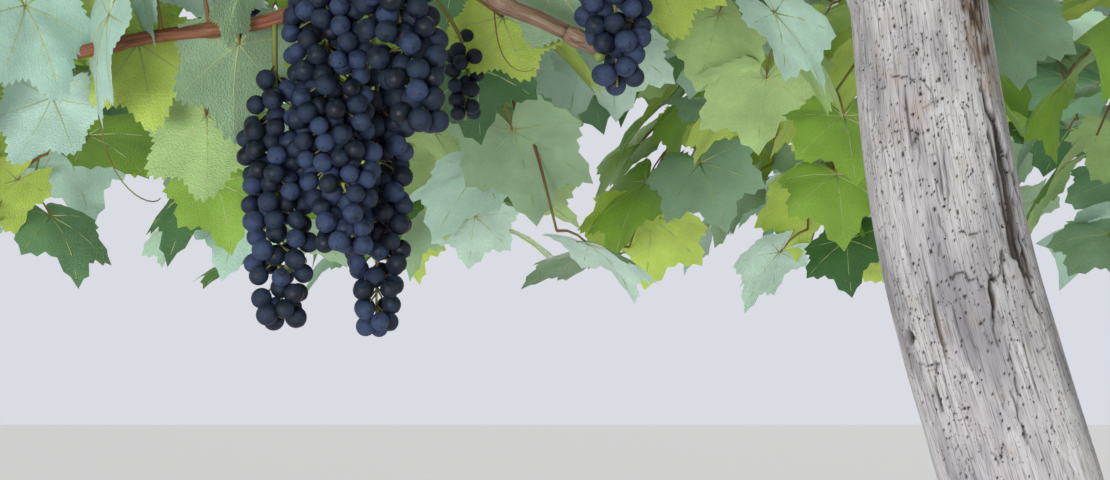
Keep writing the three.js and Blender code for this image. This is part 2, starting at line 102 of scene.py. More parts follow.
# Half the outline of the source's leaves: across, along and proud of the blade, in leaf widths
HALF_LEAF = [(0.34, 0.26, -0.06), (0.5, 0.68, -0.1)]
SOLID_LEAF = [(0, 0, 0), *HALF_LEAF, (0, 1.14, -0.18), *((-a, b, c) for a, b, c in HALF_LEAF[::-1])]
LEAF_HEART = 0.5
LEAF_NOTCH = 0.24
BUNCH = {"length": 150, "spread": 0.2, "width": 78}
BUNCH_SHAPE = {"shoulder": 2.2, "start": 0.16, "taper": 0.46, "hollow": 2.1}
BUNCH_SHOOTS = (1, 5)  # which shoots of a mass carry a bunch
STALK_LENGTH = 45

# Hanging masses under the left arm, and the box that they keep to
BOX_LOW = np.array((-1400, -215, 1535))
BOX_HIGH = np.array((-590, 185, 1893))
BOX_MARGIN = 26
LONG_CANE = [
    (-840, 4, 1868), (-890, 2, 1842), (-945, 0, 1809),
    (-1050, -6, 1792), (-1165, -12, 1768), (-1290, -16, 1772),
]
LONG_CANE_RADII = (6.5, 4)
SPUR_FROM = (-838, 22, 1952)
SPUR_RADII = (12, 8)
STRAIGHT = 12
RIGHT_CANE = [(-778, 24, 1955), (-799, -2, 1872), (-769, -8, 1824)]
RIGHT_CANE_RADII = (9, 6.5)
RIGHT_STEM = [(-712, -8, 1796), (-698, -8, 1789), (-684, -6, 1783), (-660, 6, 1800), (-655, 14, 1872)]
RIGHT_STEM_RADII = (6.5, 3)
# Ripe bunches: the place that each hangs from, the top of its grapes, length, width and lean, then the size
# of a grape, the share of grapes that are missing, and the shares of dark, blue and dusty ones
BUNCH_WORDS = ("on", "top", "length", "width", "lean", "berry", "open", "tones")
RIPE_BUNCHES = [
    ((-948, 0, 1808), (-947, -8, 1776), 216, 64, 6, 16.4, 0.1, (4, 5, 2)),
    ((-900, 1, 1836), (-911, -26, 1866), 250, 72, 24, 15.8, 0.03, (2, 4, 5)),
    ((-880, 2, 1848), (-867, 34, 1790), 238, 60, 0, 16.2, 0.04, (3, 5, 3)),
    ((-866, 3, 1854), (-858, -66, 1868), 160, 68, 34, 18.6, 0.02, (2, 6, 2)),
    # This bunch hangs behind in shade, and most of its grapes take the dark skin as painted shade
    ((-856, 4, 1860), (-796, 78, 1808), 76, 38, 0, 13.0, 0.2, (8, 2, 0)),
    ((-655, 14, 1870), (-673, -12, 1852), 104, 62, 2, 17.2, 0.02, (0, 5, 8)),
]
# Leaves near the ripe bunches: the end of the stalk, the way the tip points seen from the front, the turn
# about the midrib, the nod to the front, the width and the tone
LEAF_WORDS = ("at", "tip", "turn", "nod", "size", "tone")
HANGING_LEAVES = [
    ((-1141, -44, 1812), -62, -42, -6, 112, "frost_and_sheen"),
    ((-1074, -46, 1804), -112, 62, -14, 128, "frost_and_sheen"),
    ((-1061, 16, 1790), -80, 180, -20, 100, "lime"),
    ((-979, 18, 1790), -104, 145, -25, 110, "dark"),
    ((-1009, -30, 1850), -85, 15, -45, 112, "frost_and_sheen"),
    ((-972, -44, 1818), -118, 118, -10, 54, "dark"),
    ((-1045, -30, 1844), -108, 55, -10, 84, "frost_and_sheen"),
    ((-1095, 14, 1836), -85, 182, 0, 90, "lime"),
    ((-1141, 66, 1752), -112, 190, 8, 96, "frost_and_sheen"),
    ((-1013, 74, 1738), -85, 186, 6, 112, "mid"),
    ((-1232, -20, 1776), -112, 20, -22, 128, "frost_and_sheen"),
    ((-765, 80, 1822), -70, 176, 6, 92, "lime"),
]
RIGHT_LEAVES = [
    ((-722, 74, 1850), -58, 170, 10, 104, "dark"),
    ((-640, 48, 1868), -28, 160, -46, 118, "lime"),
]

# Where the random draws of each kind start. Those of the masses are the source's
SEED = {"fine": 7000, "shapes": 31, "deal": 300, "bunch": 900, "ripe": 60, "cracks": 77, "holes": 78}

# Finer twigs that this script adds, on the shoots of each mass and on the arms and canes
FINE = {
    "seats": (0.12, 0.38, 0.64, 0.9), "leaf_seats": (0.45, 0.95), "steps": 3, "step": 74,
    "turn": 52, "turn_spread": 24, "lift": 0.35, "droop": 0.15, "root": 2.6, "tip": 1.4,
    "apart": 74, "size": 150, "size_spread": 0.22,
}

PETIOLE_RADII = (1.6, 1.3, 1.2, 1.4)
SHOWN_PETIOLE_RADII = (2.2, 1.3)
BUNCH_STALK_RADII = (2.6, 1.0)
TENDRILS = {"share": 0.45, "length": 95, "steps": 24, "radii": (1.1, 0.5)}
SHOWN_TENDRILS = [
    {"on": (-771, -9, 1826), "length": 82, "seed": 5},
    {"on": (-1092, -9, 1786), "length": 165, "seed": 8},
]

# Leaf edge: degrees from the midrib and reach in leaf widths, from the tip round to the sinus
LOBES = [(0, 0.80), (25, 0.60), (47, 0.71), (72, 0.52), (97, 0.58), (122, 0.43), (146, 0.43), (170, 0.09)]
# Main veins on one side of the leaf: degrees from the midrib, and share of the leaf's reach there
SIDE_VEINS = [(47, 0.9), (97, 0.86), (146, 0.78)]
VEINS = [(0, 0.93), *((side * turn, share) for turn, share in SIDE_VEINS for side in (1, -1))]
TOOTH = 0.035
LEAF_HALF = 0.0025  # half a leaf's thickness, in leaf widths
# How finely leaves are made: steps and teeth between two marks of the edge, rings from the edge inwards, each
# with one corner for so many of the edge's and its share of the reach, and the number of different shapes
LEAF_DETAILS = {
    "far": {"detail": 2, "teeth": 1, "rings": [(1, 1), (2, 0.5)], "shapes": 8},
    "near": {"detail": 4, "teeth": 2, "rings": [(1, 1), (2, 0.72), (4, 0.36)], "shapes": 10},
    "hero": {
        "detail": 16,
        "teeth": 4,
        "rings": [(1, 1), (1, 0.94), (2, 0.84), (2, 0.68), (4, 0.5), (4, 0.32), (8, 0.16)],
        "shapes": 12,
    },
}
BLADE_SHARE = 0.80  # width of a dressed leaf against the solid that it stands for
# What the camera takes in: focal length and half the frame's sides in pixels, and what is near in metres
VIEW = {"focal": 2489, "half_wide": 600, "half_high": 300, "close": 0.2, "far": 3.6}

# Leaf tones: upper side and underside
TONES = {
    # The frost tone is a pale frosted leaf, its upper side lightened further with painted sky sheen
    "frost_and_sheen": (0xC4E4D8, 0xC8E6DB),
    "pale": (0xA0C0A2, 0xD0EDDC),
    "mint": (0x83AD86, 0xC2E5D2),
    # The lime tone, on both sides, is painted light shining through the leaf from behind
    "lime": (0x93BA48, 0xCAE46A),
    "mid": (0x6C9A50, 0xBAD890),
    "dark": (0x4A7546, 0xA2C29A),
    "autumn": (0xB08A3E, 0xBC9C50),
}
AUTUMN_SHARE = 0.008
# Each spray of the crown is dealt one of these
TONE_DEAL = "mint lime pale mid pale dark mint pale lime mid mint lime".split()


def unit(v):
    return v / math.sqrt(v @ v)


def cross(a, b):
    return np.array((a[1] * b[2] - a[2] * b[1], a[2] * b[0] - a[0] * b[2], a[0] * b[1] - a[1] * b[0]))


def turned(v, axis, angle):
    """v turned about a unit axis by an angle in radians."""
    return v * math.cos(angle) + cross(axis, v) * math.sin(angle) + axis * (axis @ v) * (1 - math.cos(angle))


def make_random(seed):
    """Repeatable random numbers from 0 to 1, the same as the source's."""
    state = seed

    def draw():
        nonlocal state
        state = (state * 1664525 + 1013904223) % 2**32
        return state / 2**32

    return draw


def spread_of(random, most):
    return (2 * random() - 1) * most


class Curve:
    """A smooth curve through points, read by the share of its length."""

    STEPS = 200

    def __init__(self, points):
        self.points = [np.array(p, float) for p in points]
        self.shares = np.linspace(0, 1, self.STEPS + 1)
        places = np.array([self.place(t) for t in self.shares])
        steps = np.linalg.norm(np.diff(places, axis=0), axis=1)
        self.lengths = np.concatenate(([0], np.cumsum(steps)))

    def place(self, t):
        last = len(self.points) - 1
        step = min(int(last * t), last - 1)
        weight = last * t - step
        p1, p2 = self.points[step], self.points[step + 1]
        p0 = self.points[step - 1] if step else 2 * p1 - p2
        p3 = self.points[step + 2] if step + 2 <= last else 2 * p2 - p1
        d0, d1, d2 = (math.sqrt(math.dist(a, b)) for a, b in ((p0, p1), (p1, p2), (p2, p3)))
        t1 = ((p1 - p0) / d0 - (p2 - p0) / (d0 + d1) + (p2 - p1) / d1) * d1
        t2 = ((p2 - p1) / d1 - (p3 - p1) / (d1 + d2) + (p3 - p2) / d2) * d1
        c2 = -3 * p1 + 3 * p2 - 2 * t1 - t2
        c3 = 2 * p1 - 2 * p2 + t1 + t2
        return p1 + weight * (t1 + weight * (c2 + weight * c3))

    def share(self, along):
        return float(np.interp(along * self.lengths[-1], self.lengths, self.shares))

    def at(self, along):
        return self.place(self.share(along))

    def heading(self, along):
        t = self.share(along)
        return unit(self.place(min(1, t + 1e-4)) - self.place(max(0, t - 1e-4)))

    def spaced(self, count):
        return np.array([self.at(i / count) for i in range(count + 1)])

    @property
    def length(self):
        return self.lengths[-1]


def placed(name, data):
    """An object of the scene that carries a mesh, a lamp or a camera."""
    made = bpy.data.objects.new(name, data)
    bpy.context.scene.collection.objects.link(made)
    return made


class Pile:
    """Small meshes gathered into one piece."""

    def __init__(self):
        self.points, self.faces, self.count, self.layers = [], [], 0, {}

    def add(self, points, faces):
        self.points.append(points)
        self.faces += [part + self.count for part in faces if len(part)]
        self.count += len(points)

    def piece(self, name, material, slot, nodes=()):
        if not self.count:
            return
        mesh = bpy.data.meshes.new(name)
        points = np.concatenate(self.points) * MM
        loops = np.concatenate([part.ravel() for part in self.faces])
        sizes = np.concatenate([np.full(len(part), part.shape[1]) for part in self.faces])
        starts = np.concatenate(([0], np.cumsum(sizes)[:-1]))
        mesh.vertices.add(len(points))
        mesh.vertices.foreach_set("co", points.astype(np.float32).ravel())
        mesh.loops.add(len(loops))
        mesh.loops.foreach_set("vertex_index", loops.astype(np.int32))
        mesh.polygons.add(len(sizes))
        mesh.polygons.foreach_set("loop_start", starts.astype(np.int32))
        mesh.update(calc_edges=True)
        mesh.polygons.foreach_set("use_smooth", np.full(len(sizes), True))
        for layer, values in self.layers.items():
            kind, field = ("FLOAT_VECTOR", "vector") if values.ndim == 2 else ("FLOAT", "value")
            attribute = mesh.attributes.new(layer, kind, "POINT")
            attribute.data.foreach_set(field, values.astype(np.float32).ravel())
        mesh.materials.append(material)
        made = placed(name, mesh)
        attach(made, "root")
        if nodes:
            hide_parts(*nodes)


def ring_frames(points):
    """Two directions square to a line at each of its points, with no twist along it."""
    steps = np.diff(points, axis=0)
    ways = np.vstack((steps[:1], steps[:-1] + steps[1:], steps[-1:]))
    side = cross(ways[0], UP)
    side = unit(side) if side @ side > 1e-9 * (ways[0] @ ways[0]) else np.array((1.0, 0, 0))
    sides, others = [], []
    for way in ways:
        way = unit(way)
        side = unit(side - way * (side @ way))
        sides.append(side)
        others.append(cross(way, side))
    return np.array(sides), np.array(others)


def even_turns(sides):
    return np.arange(sides) * 2 * math.pi / sides


def closed_tube(centres, first, second, angle, reach, ends):
    """Corners and faces of a closed tube: rings that stand out from their centres by reach, and two ends."""
    ring = first[:, None] * np.cos(angle)[..., None] + second[:, None] * np.sin(angle)[..., None]
    corners = centres[:, None] + ring * reach[..., None]
    rows, sides = corners.shape[:2]
    here = np.arange(rows * sides).reshape(rows, sides)
    beside = np.roll(here, -1, axis=1)
    walls = np.stack((here[:-1], beside[:-1], beside[1:], here[1:]), -1).reshape(-1, 4)
    low_end, high_end = (np.full(sides, rows * sides + number) for number in (0, 1))
    bottom = np.stack((beside[0], here[0], low_end), -1)
    top = np.stack((here[-1], beside[-1], high_end), -1)
    return np.vstack((corners.reshape(-1, 3), *ends)), [walls, bottom, top]


def tube(points, radii, sides):
    points = np.asarray(points, float)
    reach = np.asarray(radii, float)[:, None]
    return closed_tube(points, *ring_frames(points), even_turns(sides), reach, (points[:1], points[-1:]))


def bent(start, end, lift, count=4):
    """Points from start to end along an arc that rises by lift in its middle."""
    share = np.linspace(0, 1, count)[:, None]
    return start + (end - start) * share + UP * (4 * lift * share * (1 - share))


# Limbs
def arm_curve(heading, length, rise):
    away = turned(np.array((1.0, 0, 0)), UP, math.radians(heading))
    aside = np.array((-away[1], away[0], 0))
    marks = [(0, ARM_SEAT, 0), (0.25, rise * 0.6, ARM_SAG), (0.6, rise * 0.95, -ARM_SAG), (1, rise, 0)]
    return Curve([HEAD + away * length * along + aside * off + UP * up for along, up, off in marks])


def cane_curve(arm, along, side, length):
    start = arm.at(along)
    away = arm.heading(along) * (1, 1, 0)
    away = turned(unit(away), UP, math.radians(side * CANE["turn"]))
    middle = start + away * length * 0.5 + UP * CANE["rise"] * 0.75
    return Curve([start, middle, start + away * length + UP * CANE["rise"]])


def curve_to(points, stem):
    heading = stem.heading(0)
    return Curve([*points, *(stem.at(0) - heading * (steps * STRAIGHT + GAP) for steps in (2, 1, 0))])


trunk_curve = Curve(TRUNK_LINE)
arms = {name: arm_curve(**shape) for name, shape in ARMS.items()}
canes = {
    name.replace("arm", "cane") + f"_{i + 1}": cane_curve(arm, *seat)
    for name, arm in arms.items()
    for i, seat in enumerate(CANE_SEATS)
}
long_cane = Curve(LONG_CANE)
right_stem = Curve(RIGHT_STEM)
spur = curve_to([SPUR_FROM], long_cane)
right_cane = curve_to(RIGHT_CANE, right_stem)

# Points on the limbs' centrelines with the room that shoots and leaves keep from them
LIMB_MARKS, TRUNK_MARKS = 24, 80
thick = [(curve, ARM_RADII[0]) for curve in arms.values()]
thick += [(curve, CANE["radii"][0]) for curve in canes.values()]
thick += [(spur, SPUR_RADII[0]), (right_cane, RIGHT_CANE_RADII[0])]
bark_lines = [(curve.spaced(LIMB_MARKS), room) for curve, room in thick]
bark_lines.append((trunk_curve.spaced(TRUNK_MARKS), TRUNK_ROOM))
BARK_POINTS = np.concatenate([points for points, _ in bark_lines])
BARK_ROOM = np.concatenate([np.full(len(points), room) for points, room in bark_lines])


def clear_of_limbs(points, room):
    away = np.linalg.norm(points[:, None] - BARK_POINTS[None], axis=2)
    return bool(np.all(away > BARK_ROOM + room))


# Masses
def mass_at(name, curve, forward, length, radius):
    """A mass whose stem starts just clear of the end of a limb."""
    heading = curve.heading(1)
    start = curve.at(1) + heading * GAP
    mass = {"name": name, "start": start, "heading": heading, "forward": forward, "radius": radius}
    return {**mass, "centre": start + heading * length}


def mass_on(name, curve, radius):
    name = name.replace("arm", "foliage").replace("cane", "foliage")
    return mass_at(name, curve, unit(curve.heading(1) * (1, 1, 0)), STEM_LENGTH, radius)


masses = [mass_on(name, curve, ARM_RADII[1]) for name, curve in arms.items()]
masses += [mass_on(name, curve, CANE["radii"][1]) for name, curve in canes.items()]
masses.append(mass_at("foliage_head", trunk_curve, np.array((1.0, 0, 0)), **HEAD_STEM))
CENTRES = np.array([mass["centre"] for mass in masses])


def out_of_crown(points):
    """True for each point below or above the crown, or in the box of the hanging masses."""
    _, y, z = points.T
    low = np.where(y < FRONT["edge"], FRONT["low"] + FRONT["slope"] * y, CROWN["low"])
    boxed = np.all((points > BOX_LOW - BOX_MARGIN) & (points < BOX_HIGH + BOX_MARGIN), axis=1)
    return (z < low) | (z > CROWN["top"]) | boxed


def owned(mass, points):
    """True where every point is nearer to this mass than to any other, and within its reach."""
    x, y, _ = points.T
    mine = (x - mass["centre"][0]) ** 2 + (y - mass["centre"][1]) ** 2
    if np.any(out_of_crown(points) | (mine > CROWN["reach"] ** 2)):
        return False
    for centre in CENTRES:
        span = math.dist(centre[:2], mass["centre"][:2])
        if span > 1:
            lead = (x - centre[0]) ** 2 + (y - centre[1]) ** 2 - mine
            if np.any(lead / (2 * span) <= CROWN["margin"]):
                return False
    return True


def in_crown(points):
    """True where every point lies in the space of the crown, whichever mass it is nearest to."""
    x, y, _ = points.T
    away = np.hypot(x[:, None] - CENTRES[:, 0], y[:, None] - CENTRES[:, 1]).min(axis=1)
    return not np.any(out_of_crown(points) | (away > CROWN["reach"]))


class Middles:
    """The middles of leaves so far, which later leaves keep away from."""

    def __init__(self):
        self.places = np.empty((0, 3))

    def add(self, place):
        self.places = np.vstack((self.places, place))

    def crowd(self, place, room):
        away = self.places - place
        return bool(np.any(np.einsum("ij,ij->i", away, away) < room * room))


middles = Middles()


def shoot_headings(random, mass):
    rise = -SHOOT["rise"] if mass["name"] in HEAVY else SHOOT["rise"]
    for i in range(SHOOT["count"] + SHOOT["risers"]):
        rises = i >= SHOOT["count"]
        place = (i - SHOOT["count"] + 0.5) / SHOOT["risers"] if rises else (i + 0.5) / SHOOT["count"]
        turn = SHOOT["fan"] * (place - 0.5) + spread_of(random, SHOOT["shake"])
        heading = turned(mass["forward"], UP, math.radians(turn))
        heading[2] = rise if rises else SHOOT["start"]
        yield unit(heading), rises


def shoot_line(random, mass, heading, rises):
    droop = HEAVY_DROOP if mass["name"] in HEAVY else 1
    direction, line, growing = heading, [mass["centre"]], True
    for i in range(SHOOT["steps"]):
        start, share = line[-1], (i + 1) / SHOOT["steps"]
        direction = turned(direction, UP, spread_of(random, SHOOT["wander"]))
        level = 0 if rises else (ROOF - start[2]) * SHOOT["level"]
        direction[2] += level - SHOOT["droop"] * droop * share * share + spread_of(random, SHOOT["lift"])
        direction = unit(direction)
        step = start + direction * SHOOT["step"]
        path = np.array((step, (start + step) / 2))
        growing = growing and clear_of_limbs(path, SHOOT["clear"]) and owned(mass, path[:1])
        if growing:
            line.append(step)
    return line


def leaf_frame(random, seat, along, side):
    tip = unit(np.array((-along[1], along[0], 0.0))) * side * LEAF_POSE["aside"]
    tip = tip + along * (LEAF_POSE["along"] + LEAF_POSE["along_spread"] * random())
    tip[2] = -LEAF_POSE["hang"] - LEAF_POSE["hang_spread"] * random()
    tip = unit(tip)
    face = turned(unit(UP - tip * (UP @ tip)), tip, spread_of(random, LEAF_POSE["roll"]))
    size = LEAF["size"] * (1 + spread_of(random, LEAF["spread"]))
    return {"seat": seat, "tip": tip, "face": face, "size": size}


def leaf_heart(leaf):
    return leaf["seat"] + leaf["tip"] * leaf["size"] * LEAF_HEART


def solid_points(leaf):
    """Points spread over the solid leaf."""
    across = cross(leaf["tip"], leaf["face"])
    seat, tip, face, size = (leaf[word] for word in ("seat", "tip", "face", "size"))
    edge = np.array([seat + size * (a * across + b * tip + c * face) for a, b, c in SOLID_LEAF])
    heart = leaf_heart(leaf)
    nexts = np.roll(edge, -1, axis=0)
    return np.vstack((edge, heart, (edge + heart) / 2, (edge + nexts) / 2, (edge + nexts + heart) / 3))


def leaves_on(random, line, seats):
    """Leaves to alternate sides along a line, each with its place as steps and a share of a step."""
    count = 0
    for i, (start, end) in enumerate(zip(line, line[1:])):
        along = unit(end - start)
        for share in seats:
            leaf = leaf_frame(random, start + (end - start) * share, along, 1 if count % 2 else -1)
            leaf["place"] = i + share
            yield leaf
            count += 1


def new_spray(line, shape):
    """A shoot or twig with no leaves yet. Its reach tells where its last leaf, twig or bunch is."""
    radii = (shape["root"], shape["tip"])
    return {"line": line, "radii": radii, "leaves": [], "bunch": None, "reach": 0}


def add_if_room(leaf, spray, near, apart, inside):
    """Adds a leaf that is apart from those near it, inside its space and clear of limbs."""
    heart, points = leaf_heart(leaf), solid_points(leaf)
    if near.crowd(heart, apart) or not (inside(points) and clear_of_limbs(points, LEAF["clear"])):
        return
    middles.add(heart)
    if near is not middles:
        near.add(heart)
    spray["leaves"].append(leaf)
    spray["reach"] = leaf["place"]


def room_for(bunch, mass):
    half = bunch["width"] / 2
    ends = (bunch["top"], bunch["top"] - UP * bunch["length"])
    sides = (-half, half)
    probe = np.array([end + np.array((a, b, 0)) for end in ends for a in sides for b in sides])
    return owned(mass, probe) and clear_of_limbs(probe, LEAF["clear"])


def grow_mass(mass, seed):
    """Shoots, leaves and bunches that the source gives a mass."""
    random = make_random(seed)
    sprays, own = [], Middles()
    for i, (heading, rises) in enumerate(list(shoot_headings(random, mass))):
        line = shoot_line(random, mass, heading, rises)
        if len(line) < 2:
            continue
        spray = new_spray(line, SHOOT)
        for leaf in list(leaves_on(random, line, LEAF_SEATS)):
            add_if_room(leaf, spray, own, LEAF["apart"], lambda points: owned(mass, points))
        if i in BUNCH_SHOOTS and len(line) > 2:
            length = BUNCH["length"] * (1 + spread_of(random, BUNCH["spread"]))
            top = line[1] - UP * STALK_LENGTH
            bunch = {"on": line[1], "top": top, "length": length, "width": BUNCH["width"], "lean": 0}
            if room_for(bunch, mass):
                spray["bunch"] = bunch
                spray["reach"] = max(1, spray["reach"])
        sprays.append(spray)
    return sprays


def fine_twig(random, start, along, side, droop):
    """The line of a side twig, as far as the crown's space and the limbs leave room for it."""
    turn = side * math.radians(FINE["turn"] + spread_of(random, FINE["turn_spread"]))
    direction = turned(along, UP, turn)
    direction[2] += spread_of(random, FINE["lift"])
    direction = unit(direction)
    line = [start]
    for _ in range(FINE["steps"]):
        direction = unit(direction - UP * FINE["droop"] * droop * random())
        step = line[-1] + direction * FINE["step"] * (0.85 + 0.3 * random())
        if not (in_crown(step[None]) and clear_of_limbs(step[None], SHOOT["clear"])):
            break
        line.append(step)
    return line


def fine_twigs(random, line, droop):
    """Side twigs with leaves where there is still room along a line, and how far along the last twig is."""
    found, side, reach = [], 1, 0
    for i, (start, end) in enumerate(zip(line, line[1:])):
        along = unit(end - start)
        for share in FINE["seats"]:
            side = -side
            twig_line = fine_twig(random, start + (end - start) * share, along, side, droop)
            twig = new_spray(twig_line, FINE)
            for leaf in list(leaves_on(random, twig["line"], FINE["leaf_seats"])):
                leaf["size"] = FINE["size"] * (1 + spread_of(random, FINE["size_spread"]))
                add_if_room(leaf, twig, middles, FINE["apart"], in_crown)
            if twig["leaves"]:
                found.append(twig)
                reach = i + share
    return found, reach


def trimmed(line, reach):
    """A line cut off at its last leaf, twig or bunch."""
    step = min(int(reach), len(line) - 2)
    return [*line[: step + 1], line[step] + (line[step + 1] - line[step]) * (reach - step)]


# Leaves
LEAF_WIDTH = 2 * max(reach * math.sin(math.radians(angle)) for angle, reach in LOBES)


def leaf_edge(detail, teeth):
    """A leaf's whole edge: angles, reaches with teeth and reaches without."""
    half = []
    for (a, from_reach), (b, to_reach) in zip(LOBES, LOBES[1:]):
        for i in range(detail):
            share = i / detail
            reach = from_reach + (to_reach - from_reach) * (1 - math.cos(math.pi * share)) / 2
            saw = abs((share * teeth % 1) * 2 - 1) * 2 - 1
            half.append((a + (b - a) * share, reach * (1 + TOOTH * saw), reach))
    half.append((LOBES[-1][0], LOBES[-1][1], LOBES[-1][1]))
    half = np.array(half)
    other = half[:0:-1] * (-1, 1, 1)
    whole = np.vstack((other, half))
    return np.radians(whole[:, 0]), whole[:, 1] / LEAF_WIDTH, whole[:, 2] / LEAF_WIDTH


def leaf_shape(random):
    """How one leaf folds, droops, curls and ripples."""
    return {
        "fold": 0.06 + 0.2 * random(),
        "droop": 0.16 + 0.26 * random(),
        "curl": 0.3 * random(),
        "wave": 0.03 + 0.05 * random(),
        "ripples": 3 + int(3 * random()),
        "phase": 6.28 * random(),
        "tilt": spread_of(random, 0.12),
    }


def leaf_proud(x, y, shape):
    reach = np.hypot(x, y)
    angle = np.arctan2(x, y)
    rise = shape["fold"] * np.abs(x) - shape["droop"] * reach**2 - shape["curl"] * np.maximum(0, y) ** 2
    ripple = shape["wave"] * reach * np.sin(shape["ripples"] * angle + shape["phase"])
    return rise + ripple + shape["tilt"] * x * reach


def leaf_template(detail, teeth, rings, shape):
    """Corners of one leaf in leaf widths, with faces for its upper side."""
    angles, edge, smooth = leaf_edge(detail, teeth)
    points, faces = [], []
    for skip, share in rings:
        reach = edge[::skip] if share == 1 else smooth[::skip] * share
        x, y = reach * np.sin(angles[::skip]), reach * np.cos(angles[::skip])
        thick = np.full(len(x), 0.0 if share == 1 else LEAF_HALF)
        thick[[0, -1]] = 0
        points.append(np.stack((x, y, leaf_proud(x, y, shape), thick), -1))
    counts = [len(ring) for ring in points]
    firsts = np.cumsum([0, *counts])
    for a, b, outer, inner in zip(firsts, firsts[1:], counts, counts[1:]):
        skip = 1 if outer == inner else 2
        i = np.arange(inner - 1)
        faces.append(np.stack((a + skip * i + 1, a + skip * i, b + i), -1))
        faces.append(np.stack((a + skip * i + 1, b + i, b + i + 1), -1))
        if skip == 2:
            faces.append(np.stack((a + 2 * i + 2, a + 2 * i + 1, b + i + 1), -1))
    i = firsts[-2] + np.arange(counts[-1] - 1)
    faces.append(np.stack((i + 1, i, np.full(len(i), firsts[-1])), -1))
    return np.vstack((*points, np.zeros((1, 4)))), np.vstack(faces)


def vein_template(shape, fine):
    """Main veins of a leaf as thin ridges that stand out on both of its sides, with side veins if fine."""
    pile = Pile()

    def ridge(x, y, root, tip):
        line = np.stack((x, y, leaf_proud(x, y, shape)), -1)
        pile.add(*tube(line, np.linspace(root, tip, len(x)), 4 if fine else 3))

    for angle, share_of_reach in VEINS:
        swing = math.radians(angle)
        reach = share_of_reach * dict(LOBES)[abs(angle)] / LEAF_WIDTH
        share = np.linspace(0.02, 1, 9 if fine else 4)
        ridge(reach * share * math.sin(swing), reach * share * math.cos(swing), 0.009, 0.0035)
        for mark in np.arange(0.28, 0.95, 0.17) if fine else ():
            for side in (-1, 1):
                branch = swing + side * math.radians(42)
                span = np.linspace(0, 0.36 * reach * (1.05 - mark), 4)
                x = reach * mark * math.sin(swing) + span * np.sin(branch)
                y = reach * mark * math.cos(swing) + span * np.cos(branch)
                ridge(x, y, 0.0042, 0.002)
    return np.concatenate(pile.points), pile.faces


shape_random = make_random(SEED["shapes"])
templates, vein_templates = {}, {}
for name, how in LEAF_DETAILS.items():
    shapes = [leaf_shape(shape_random) for _ in range(how["shapes"])]
    templates[name] = [leaf_template(how["detail"], how["teeth"], how["rings"], shape) for shape in shapes]
    if name != "far":
        vein_templates[name] = [vein_template(shape, name == "hero") for shape in shapes]

tops = {tone: Pile() for tone in TONES}
unders = {tone: Pile() for tone in TONES}
veins, petioles, twigs, tendrils = Pile(), Pile(), Pile(), Pile()


def add_leaf(leaf, tone, detail, shape, width, notch):
    """A leaf's two sides, with its stalk's end at notch, and its veins where it is seen closely."""
    points, faces = templates[detail][shape % len(templates[detail])]
    axes = np.array((cross(leaf["tip"], leaf["face"]), leaf["tip"], leaf["face"]))
    middle = points[:, :3] @ axes * width + notch
    half = points[:, 3:] * leaf["face"] * width
    tops[tone].add(middle + half, [faces])
    unders[tone].add(middle - half, [faces[:, ::-1]])
    if detail in vein_templates:
        lines, vein_faces = vein_templates[detail][shape % len(templates[detail])]
        veins.add(lines @ axes * width + notch, vein_faces)


def is_near(point):
    """True for what the photograph's camera takes in, and not too far away."""
    x, y, z = point * MM - CAMERA["place"]
    pitch = math.radians(CAMERA["pitch"])
    depth = y * math.cos(pitch) + z * math.sin(pitch)
    rise = z * math.cos(pitch) - y * math.sin(pitch)
    if not VIEW["close"] < depth < VIEW["far"]:
        return False
    scale = VIEW["focal"] / depth
    return abs(x) * scale < VIEW["half_wide"] and abs(rise) * scale < VIEW["half_high"]


# Grapes
def ball(cuts):
    made = bmesh.new()
    bmesh.ops.create_icosphere(made, subdivisions=cuts, radius=1)
    points = np.array([v.co for v in made.verts])
    faces = np.array([[v.index for v in face.verts] for face in made.faces])
    made.free()
    return points, faces


BALLS = {"hero": ball(3), "near": ball(2)}
berries = {tone: Pile() for tone in ("dark", "blue", "bloom")}
green_berries, scars, stalks = Pile(), Pile(), Pile()

FULL_END = 0.8  # share of the solid's taper that a dressed bunch has
# Berries are packed in three layers: how far in, in berries, and what part of the skin's tries each gets
LAYERS = [(0.42, 1), (1.2, 3), (2.0, 6)]
CROWN_GRAPES = {"berry": 15, "open": 0.03, "tones": (4, 5, 2)}
BERRY = {"apart": 0.86, "uneven": 0.09, "unripe": 0.035, "tall": 1.04}
TRY_AREA = 9  # square millimetres of a bunch's front for each try of the skin


def bunch_reach(bunch, down, turn, lumps):
    """How far a bunch reaches from its middle line, a little fuller at its end than the solid."""
    shoulder = math.sin(0.5 * math.pi * min(1, down * BUNCH_SHAPE["shoulder"] + BUNCH_SHAPE["start"]))
    shape = shoulder * (1 - FULL_END * BUNCH_SHAPE["taper"] * down ** BUNCH_SHAPE["hollow"])
    lump = 1 + 0.16 * math.sin(2 * turn + lumps[0] + 4 * down) * math.sin(9 * down + lumps[1])
    return 0.5 * bunch["width"] * shape * lump


def add_berry(random, place, axis, girth, tone, detail):
    """A berry that is turned outwards. Where it is seen closely it has its little stalk and its scar."""
    out = unit(place - axis + UP * 1e-3)
    side = unit(cross(out, np.array((0.3, 0.5, 0.8))))
    basis = np.array((side, cross(out, side), out))
    pile = berries[tone]
    if detail == "hero" and random() < BERRY["unripe"]:
        pile, girth = green_berries, girth * 0.5
    points, faces = BALLS[detail]
    pile.add((points * (1, 1, BERRY["tall"])) @ basis * girth + place, [faces])
    if detail == "hero":
        stalks.add(*tube(np.array((axis, (axis + place) / 2 + UP, place)), (0.9, 0.8, 1.1), 3))
        scar = np.array((place + out * girth * 1.0, place + out * girth * 1.065))
        scars.add(*tube(scar, (1.0, 0.5), 5))


